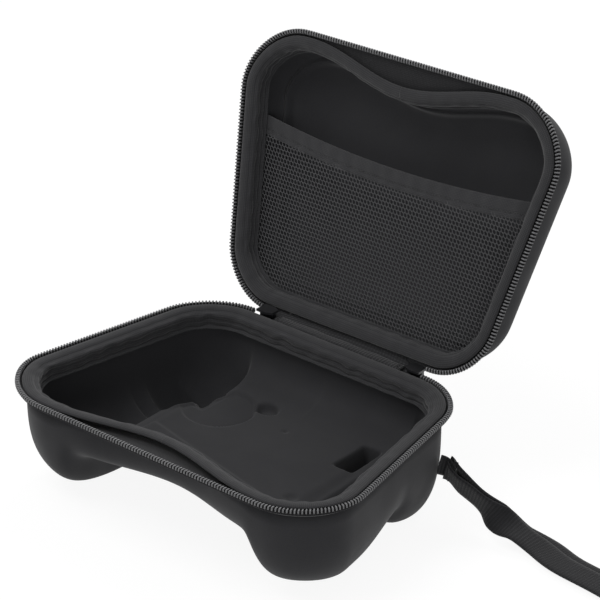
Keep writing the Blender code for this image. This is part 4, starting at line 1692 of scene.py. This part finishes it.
@dataclass
class Hinge:
    """Cloth hinge: an outer strip sewn under both rims and an inner fold that shows between them.

    Attributes:
        length: Length of the outer strip along the back.
        thickness: Thickness of both cloths.
        leave: Distance from the zip line at which the strip leaves each rim.
        slack: How far its middle hangs out, in thicknesses.
        bend: Width of the blur that rounds its bends, in stations.
        flare: How much its middle widens.
        rib: Height of its ribs.
        lining_length: Length of the inner fold.
        lining_width: Width of the inner fold.
        lining_top: Height of the fold against the zip's plane.
        lining_rib: Height and length of its ribs.
        lining_wave: Height and length of its waves.
        tack_in: Distance of the tacks from the ends of the fold.
        tack_height: Height of the tacks against the zip's plane.
    """

    length: float = 0.072
    thickness: float = 0.0010
    leave: float = 0.0004
    slack: float = 0.6
    bend: float = 1.2
    flare: float = 0.20
    rib: float = 0.00008
    lining_length: float = 0.0700
    lining_width: float = 0.0048
    lining_top: float = -0.0006
    lining_rib: tuple[float, float] = (0.00010, 0.0016)
    lining_wave: tuple[float, float] = (0.00015, 0.019)
    tack_in: float = 0.0012
    tack_height: float = -0.00035

    @property
    def back(self) -> float:
        """Place of the zip line at the middle of the back."""
        return ZIP.point(ZIP.length / 2)[1]

    def strip(self) -> bpy.types.Object:
        """Make the outer strip, drawn bent between the base and the open lid.

        Returns:
            The strip.
        """
        t, seat = self.thickness, EDGE.seat
        inner = EDGE.inner(Half.LID) - EDGE.overlap
        x = np.linspace(-0.5, 0.5, 60) * self.length
        course = [(inner, seat + t / 2), (EDGE.wall, seat + t / 2), (self.leave, seat + t * 1.7)]
        sides = []
        for half in Half:
            rows = [np.stack([x, np.full_like(x, self.back - inset), np.full_like(x, z * half.value)], 1)
                    for inset, z in course]
            sides.append(CASE.world(np.stack(rows), half))
        near, far = sides
        middle = (near[-1] + far[-1]) / 2 - np.array([0, 0, t * self.slack])
        path = np.concatenate([near, middle[None], far[::-1]])
        goal = np.linspace(0, len(path) - 1, 40)
        path = np.stack([np.stack([np.interp(goal, np.arange(len(path)), path[:, n, k]) for k in range(3)], 1)
                         for n in range(len(x))], 1)
        path = blurred(path, self.bend, False)
        share = np.linspace(0, 1, len(goal))[:, None]
        path[..., 0] += (path[..., 0] - CASE.origin[0]) * self.flare * np.sin(pi * share) ** 2
        along = np.gradient(path, axis=0)
        across = np.stack([np.zeros(along.shape[:2]), -along[..., 2], along[..., 1]], -1)
        across /= np.linalg.norm(across, axis=-1, keepdims=True)
        ribs = (self.rib * np.sin(np.arange(len(goal)) * 1.6))[:, None, None]
        faces = np.concatenate([path + across * (t / 2 + ribs), (path - across * (t / 2 + ribs))[::-1]])
        strip = add_strip("hinge_cloth", np.swapaxes(faces, 0, 1), False)
        WARDROBE.dress(strip, HINGE_CLOTH)
        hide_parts("hinge_strip")
        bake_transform(strip)
        return strip

    def lining(self) -> bpy.types.Object:
        """Make the inner fold with its ribs.

        Returns:
            The lining.
        """
        t, top, w = self.thickness, self.lining_top, self.lining_width
        y = self.back - EDGE.binding + 0.0003
        corners = [(y, top - t * 1.1), (y, top - t * 0.2), (y + t, top), (y + w * 0.3, top + 0.00005),
                   (y + w * 0.62, top), (y + w, top - t * 0.4), (y + w, top - t * 1.4),
                   (y + w * 0.5, top - t)]
        section = rounded_section(corners)
        x = np.linspace(-0.5, 0.5, 260) * self.lining_length
        z = section[None, :, 1]
        upper = z > top - t * 0.7
        for (height, length), phase in ((self.lining_rib, 0.0), (self.lining_wave, 1.0)):
            z = z + height * np.sin(2 * pi * x / length + phase)[:, None] * upper
        sections = np.stack([np.broadcast_to(x[:, None], z.shape),
                             np.broadcast_to(section[None, :, 0], z.shape), z], -1)
        lining = add_strip("hinge_inner_fold", CASE.world(sections, Half.BASE), False)
        return settle(lining, HINGE_CLOTH, Half.BASE, "hinge_lining")

    def tack(self, end: End) -> list[bpy.types.Object]:
        """Sew the inner fold down at one end.

        Args:
            end: End of the fold.
        Returns:
            The stitches.
        """
        y = np.linspace(self.back - 0.0012, self.back + self.lining_width - 0.0022, 30)
        x = end.value * (self.lining_length / 2 - self.tack_in)
        line = np.stack([np.full_like(y, x), y, np.full_like(y, self.tack_height)], 1)
        name = f"hinge_tack_{end.name.lower()}"
        return Stitches(name, line, np.array([0.0, 0.0, 1.0]), Half.BASE, 0.0011, 0.0005, 0.7).build()

    def build(self) -> list[bpy.types.Object]:
        """Make both cloths and the tacks at their ends."""
        return [self.strip(), self.lining()] + self.tack(End.LEFT) + self.tack(End.RIGHT)


# Strap

@dataclass
class WristStrap:
    """Webbing folded to a loop, held by a stub on the right side, turning flat as it reaches the floor.

    Places along the strap count the points that it passes. The root is point 0, on the wall.

    Attributes:
        width: Width of the webbing.
        thickness: Thickness of the webbing.
        lift: Height of the lower layer over the floor.
        y: Place of the root from front to back.
        height: Height of the root over the floor.
        standoff: Distance of the strap's ends from the wall.
        shift: How far the far layer slips sideways, where that starts, and over what stretch.
        reach: Distance from the root to the loop's end.
        root: Length of the first straight part.
        course: Points after it: x and y as shares of the reach, and the share of the fall to the floor.
        lean: How far the root leans from upright.
        turning: Where the strap starts to turn flat, and over what stretch.
        closing: Where its two layers close up, and over what stretch.
        gap: Gap between two layers.
        selvedge: How much thinner the webbing gets at its edges.
        rib: Height of the ribs along it.
        stub_length: Length of the stub.
        seam_at: Place of the seam through the stub.
        steps: Sections of each layer.
        bend_steps: Steps of the bend at the loop's end.
    """

    width: float = 0.0124
    thickness: float = 0.0014
    lift: float = 0.0004
    y: float = 0.0435
    height: float = 0.0245
    standoff: float = 0.0040
    shift: tuple[float, float, float] = (0.0050, 3.6, 3.0)
    reach: float = 0.137
    root: float = 0.0050
    course: tuple[tuple[float, float, float], ...] = (
        (0.092, 0.007, 0.23), (0.179, 0.011, 0.49), (0.237, 0.014, 0.71), (0.296, 0.016, 0.84),
        (0.376, 0.014, 0.97), (0.485, -0.015, 1), (0.668, -0.036, 1), (1, -0.091, 1))
    lean: float = radians(19)
    turning: tuple[float, float] = (2.6, 2.6)
    closing: tuple[float, float] = (1.7, 0.9)
    gap: float = 0.0003
    selvedge: float = 0.55
    rib: float = 0.00006
    stub_length: float = 0.0090
    seam_at: float = 1.25
    steps: int = 170
    bend_steps: int = 12

    def route(self) -> np.ndarray:
        """Points that the strap's middle passes.

        Returns:
            The points, in the case's own frame.
        """
        s = ZIP.where(1, self.y, 0.12, 0.38)
        out = np.append(-ZIP.inward(s), 0.0)
        floor = CASE.origin[2]
        high, low = self.height - floor, -floor + self.thickness + self.lift
        wall = ZIP.rim(s, EDGE.wall, high)
        points = [wall, wall + out * self.root - np.array([0, 0, self.thickness])]
        for x, y, fall in self.course:
            points.append(np.array([wall[0] + x * self.reach, wall[1] + y * self.reach,
                                    mix(high, low, fall)]))
        return np.array(points)

    @staticmethod
    def spline(points: np.ndarray, t: np.ndarray) -> np.ndarray:
        """Smooth curve through points.

        Args:
            points: Points to pass.
            t: Places along it, from 0 to the number of points less one.
        Returns:
            Points of the curve.
        """
        k = np.minimum(t.astype(int), len(points) - 2)
        f = (t - k)[:, None]
        p = [points[np.clip(k + n, 0, len(points) - 1)] for n in (-1, 0, 1, 2)]
        return 0.5 * (2 * p[1] + (p[2] - p[0]) * f + (2 * p[0] - 5 * p[1] + 4 * p[2] - p[3]) * f ** 2
                      + (3 * p[1] - p[0] - 3 * p[2] + p[3]) * f ** 3)

    def frames(self, points: np.ndarray, t: np.ndarray) -> tuple[np.ndarray, np.ndarray, np.ndarray]:
        """Middle, width and thickness directions of the strap.

        Args:
            points: Points that the strap passes.
            t: Places along it.
        Returns:
            Three arrays.
        """
        p = self.spline(points, t)
        along = (self.spline(points, np.minimum(t + 0.02, len(points) - 1))
                 - self.spline(points, np.maximum(t - 0.02, 0)))
        along /= np.linalg.norm(along, axis=1, keepdims=True)
        flat = np.stack([-along[:, 1], along[:, 0], np.zeros(len(t))], 1)
        flat /= np.linalg.norm(flat, axis=1, keepdims=True)
        start, stretch = self.turning
        turn = mix(-self.lean, pi / 2, smooth((t - start) / stretch))
        width = np.array([0, 0, 1.0])[None] * np.cos(turn)[:, None] + flat * np.sin(turn)[:, None]
        width = width - along * (width * along).sum(1, keepdims=True)
        width /= np.linalg.norm(width, axis=1, keepdims=True)
        return p, width, np.cross(along, width)

    def sections(self, centre: np.ndarray, width: np.ndarray, normal: np.ndarray) -> np.ndarray:
        """Rounded sections of the webbing.

        Args:
            centre: Middles.
            width: Width directions.
            normal: Thickness directions.
        Returns:
            Array of stations, corners and x, y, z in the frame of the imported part.
        """
        w, t = self.width / 2, self.thickness / 2
        upper = [(u * w, t * (1 - self.selvedge * abs(u) ** 9) + self.rib * cos(u * 6 * pi))
                 for u in np.linspace(-1, 1, 13)]
        outline = upper + [(u, -v) for u, v in upper[::-1]]
        points = np.stack([centre + width * u + normal * v for u, v in outline], 1)
        return CASE.world(points, Half.BASE)

    def loop(self, points: np.ndarray) -> bpy.types.Object:
        """Make the strap out of its near layer, the bend at its end and its far layer.

        Args:
            points: Points that the strap passes.
        Returns:
            The strap.
        """
        t = np.linspace(self.standoff / self.root, len(points) - 1, self.steps)
        p, width, normal = self.frames(points, t)
        gap = self.thickness + self.gap
        apart = mix(gap, gap / 2, smooth((t - self.closing[0]) / self.closing[1]))[:, None]
        slip, start, stretch = self.shift
        shift = width * (slip * smooth((t - start) / stretch))[:, None]
        near, far = p + normal * apart, (p - normal * apart + shift)[::-1]
        along = np.cross(width[-1], normal[-1])
        share = np.arange(1, self.bend_steps)[:, None] / self.bend_steps
        bend_normal = normal[-1] * np.cos(pi * share) + along * np.sin(pi * share)
        bend = p[-1] + bend_normal * gap / 2 + width[-1] * slip * share
        centre = np.concatenate([near, bend, far])
        widths = np.concatenate([width, np.tile(width[-1], (len(bend), 1)), width[::-1]])
        normals = np.concatenate([normal, bend_normal, -normal[::-1]])
        strap = add_strip("webbing_strap", self.sections(centre, widths, normals), False)
        settle(strap, WEBBING, Half.BASE, "wrist_strap")
        return strap

    def stub(self, points: np.ndarray) -> bpy.types.Object:
        """Make the short piece of webbing between the strap's two ends, tucked into the wall's seam.

        Args:
            points: Points that the strap passes.
        Returns:
            The stub.
        """
        first = 0.0003 / self.root
        last = 1 + (self.stub_length - self.root) / (self.root * 1.6)
        sections = self.sections(*self.frames(points, np.linspace(first, last, 24)))
        return settle(add_strip("woven_stub", sections, False), WEBBING, Half.BASE, "strap_tab")

    def seam(self, points: np.ndarray) -> list[bpy.types.Object]:
        """Sew across the strap where it holds the stub, and leave one loose thread.

        Args:
            points: Points that the strap passes.
        Returns:
            Both seams and the thread.
        """
        p, width, normal = self.frames(points, np.full(24, self.seam_at))
        u = np.linspace(-0.46, 0.46, 24)[:, None] * self.width
        threads = []
        for side, name in ((1, "front"), (-1, "back")):
            line = p + width * u + side * normal * (self.thickness * 1.5 + 0.00032)
            threads += Stitches(f"strap_seam_{name}", line, side * normal, Half.BASE,
                                0.0016, 0.0005, 0.75).build()
        top = p[0] + width[0] * self.width * 0.5
        path = top + np.array([[0, 0, -0.001], [0.0002, 0, 0.0006], [0.0006, 0.0002, 0.0016],
                               [0.0004, 0, 0.0027]])
        return threads + Stitches("loose_thread", path, normal[:4], Half.BASE, 0.0040, 0.00030, 0.95).build()

    def build(self) -> list[bpy.types.Object]:
        """Make the strap, its stub, the seams and a loose thread."""
        points = self.route()
        return [self.loop(points), self.stub(points)] + self.seam(points)


# Metal

@dataclass
class Slider:
    """Slider and pull at one end of the zip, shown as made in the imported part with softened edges.

    Attributes:
        end: End of the zip.
        slider_edge: Width of the slider's softened edges.
        pull_edge: Width of the pull's softened edges.
        least_turn: Least angle that a softened edge turns by.
    """

    end: End
    slider_edge: float = 0.00022
    pull_edge: float = 0.00018
    least_turn: float = radians(35)

    def build(self) -> list[bpy.types.Object]:
        """Soften the edges and dress both pieces.

        Returns:
            The slider and the pull.
        """
        side = self.end.name.lower()
        slider, pull = frame["nodes"][f"zip_slider_{side}"], frame["nodes"][f"zip_pull_{side}"]
        for piece, width in ((slider, self.slider_edge), (pull, self.pull_edge)):
            bevel = piece.modifiers.new("Cast edges", "BEVEL")
            bevel.width = width
            bevel.segments = 2
            bevel.limit_method = "ANGLE"
            bevel.angle_limit = self.least_turn
            WARDROBE.dress(piece, ZINC_ENAMEL)
        slider.data.shade_smooth()
        return [slider, pull]


# Studio

def towards(azimuth: float, elevation: float) -> Vector:
    """Unit vector from the case to what stands at some degrees from its front and over the table."""
    a, e = radians(azimuth), radians(elevation)
    return Vector((sin(a) * cos(e), -cos(a) * cos(e), sin(e)))


def place(name: str, data: bpy.types.ID, point: Vector, back: Vector) -> bpy.types.Object:
    """Put a lamp or a camera into the scene.

    Args:
        name: Name of the object.
        data: Its lamp or camera data.
        point: Where it stands.
        back: Vector from what it faces towards it.
    Returns:
        The object.
    """
    placed = bpy.data.objects.new(name, data)
    placed.location = point
    placed.rotation_mode = "QUATERNION"
    placed.rotation_quaternion = (-back).to_track_quat("-Z", "Y")
    bpy.context.scene.collection.objects.link(placed)
    return placed


@dataclass(frozen=True)
class Lamp:
    """Soft lamp that faces the case.

    Attributes:
        name: Name of the lamp.
        azimuth: Side it stands on, in degrees round the case from the front.
        elevation: Its height in degrees.
        distance: Its distance in metres.
        size: Width of its panel.
        power: Watts.
    """

    name: str
    azimuth: float
    elevation: float
    distance: float
    size: float
    power: float

    def build(self, target: Vector) -> None:
        """Place the lamp.

        Args:
            target: Point that it faces.
        """
        back = towards(self.azimuth, self.elevation)
        data = bpy.data.lights.new(self.name, "AREA")
        data.shape = "DISK"
        data.size = self.size
        data.energy = self.power
        place(self.name, data, target + back * self.distance, back)


@dataclass
class Studio:
    """White table, soft lamps and the camera.

    Attributes:
        azimuth: Side that the camera stands on, in degrees from the front towards the right.
        elevation: Height of the camera in degrees.
        distance: Distance of the camera from the middle of the zip line.
        right: How far the camera is moved to its right.
        up: How far it is moved upwards.
        focal_pixels: Focal length in pixels of the photograph.
        picture: Width of the photograph in pixels.
        sensor: Width of the camera's sensor in millimetres.
        table_half: Half the width of the table.
        table_top: Height of the table against the floor plane of the case.
        table_grey: Grey of the table to the light that it sends back.
        shadow: Darkness of the shadow on the table.
        glow: How much of that shadow the table's own white gives way to.
        room: Brightness of the room to the light.
        aim: Point that the lamps face, measured from the middle of the zip line.
        lamps: The lamps.
    """

    azimuth: float = 40.345
    elevation: float = 27.440
    distance: float = 1.2455
    right: float = 0.02397
    up: float = 0.03964
    focal_pixels: float = 2963.0
    picture: int = 600
    sensor: float = 36
    table_half: float = 6.0
    table_top: float = -0.00005
    table_grey: float = 0.58
    shadow: float = 0.16
    glow: float = 0.6
    room: float = 0.28
    aim: tuple[float, float, float] = (0, 0.03, 0.02)
    lamps: tuple[Lamp, ...] = (
        Lamp("window", -40.0, 64.0, 1.3, 0.9, 7.0),
        Lamp("fill", 46.0, 8.0, 1.6, 0.9, 6.4),
        Lamp("back", 190.0, 50.0, 1.4, 0.9, 6.0),
    )

    def camera(self) -> None:
        """Place the camera at the photograph's angle."""
        back = towards(self.azimuth, self.elevation)
        right = Vector((cos(radians(self.azimuth)), sin(radians(self.azimuth)), 0))
        data = bpy.data.cameras.new("camera")
        data.sensor_width = self.sensor
        data.lens = self.sensor * self.focal_pixels / self.picture
        data.clip_end = 50
        point = Vector(CASE.origin) + back * self.distance + right * self.right + back.cross(right) * self.up
        bpy.context.scene.camera = place("camera", data, point, back)

    @staticmethod
    def seen(tree: bpy.types.NodeTree) -> bpy.types.NodeSocket:
        """Tell the rays that end in the eye, straight or by a mirror or glass, from those that carry light.

        Args:
            tree: Node tree that takes the nodes.
        Returns:
            Socket that is 1 for such a ray.
        """
        ray = add_node(tree, "ShaderNodeLightPath")
        direct = ray.outputs["Is Camera Ray"]
        for bounce in ("Is Glossy Ray", "Is Transmission Ray"):
            direct = add_node(tree, "ShaderNodeMath", {0: direct, 1: ray.outputs[bounce]},
                              operation="MAXIMUM").outputs[0]
        return direct

    def table(self) -> None:
        """Make the table, white to the eye and pale to the light that it sends back."""
        h = self.table_half
        corners = np.array([(x, y, self.table_top) for x, y in ((-h, -h), (h, -h), (h, h), (-h, h))])
        table = add_mesh("white_table", corners, [[0, 1, 2, 3]])
        material = bpy.data.materials.new("white_table_top")
        material.use_nodes = True
        tree = material.node_tree
        tree.nodes.clear()
        paper = add_node(tree, "ShaderNodeBsdfDiffuse", {"Color": (self.table_grey,) * 3 + (1.0,)})
        shaded = add_node(tree, "ShaderNodeBsdfDiffuse", {"Color": (self.shadow,) * 3 + (1.0,)})
        glow = add_node(tree, "ShaderNodeEmission",
                        {"Color": WHITE, "Strength": 1.0 - self.glow * self.shadow})
        shown = add_node(tree, "ShaderNodeAddShader", {0: shaded.outputs[0], 1: glow.outputs[0]})
        both = add_node(tree, "ShaderNodeMixShader",
                        {0: self.seen(tree), 1: paper.outputs[0], 2: shown.outputs[0]})
        add_node(tree, "ShaderNodeOutputMaterial", {"Surface": both.outputs[0]})
        table.data.materials.append(material)

    def surroundings(self) -> None:
        """Make the room white to the eye and grey to the light."""
        world = bpy.data.worlds.new("room")
        bpy.context.scene.world = world
        world.use_nodes = True
        tree = world.node_tree
        tree.nodes.clear()
        room, white = (add_node(tree, "ShaderNodeBackground", {"Color": WHITE, "Strength": strength})
                       for strength in (self.room, 1.0))
        both = add_node(tree, "ShaderNodeMixShader",
                        {0: self.seen(tree), 1: room.outputs[0], 2: white.outputs[0]})
        add_node(tree, "ShaderNodeOutputWorld", {"Surface": both.outputs[0]})

    def build(self) -> None:
        """Make everything that isn't the case."""
        scene = bpy.context.scene
        scene.view_settings.view_transform = "Standard"
        scene.view_settings.look = "None"
        self.camera()
        self.table()
        self.surroundings()
        for lamp in self.lamps:
            lamp.build(Vector(CASE.origin) + Vector(self.aim))


def main() -> None:
    """Build the case sub-assembly by sub-assembly, report each piece, and place the studio."""
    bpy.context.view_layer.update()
    assemblies = [Tray(), Cover(), Binding(Half.BASE, 3), Binding(Half.LID, 11), ZipHalf(Half.BASE),
                  ZipHalf(Half.LID), Pocket(), Hinge(), WristStrap(), Slider(End.LEFT), Slider(End.RIGHT)]
    for assembly in assemblies:
        for piece in assembly.build():
            LOG.info("%s: %s, %d points", type(assembly).__name__, piece.name, len(piece.data.vertices))
    studio = Studio()
    studio.build()
    LOG.info("Studio: %d lamps", len(studio.lamps))


if __name__ == "__main__":
    main()
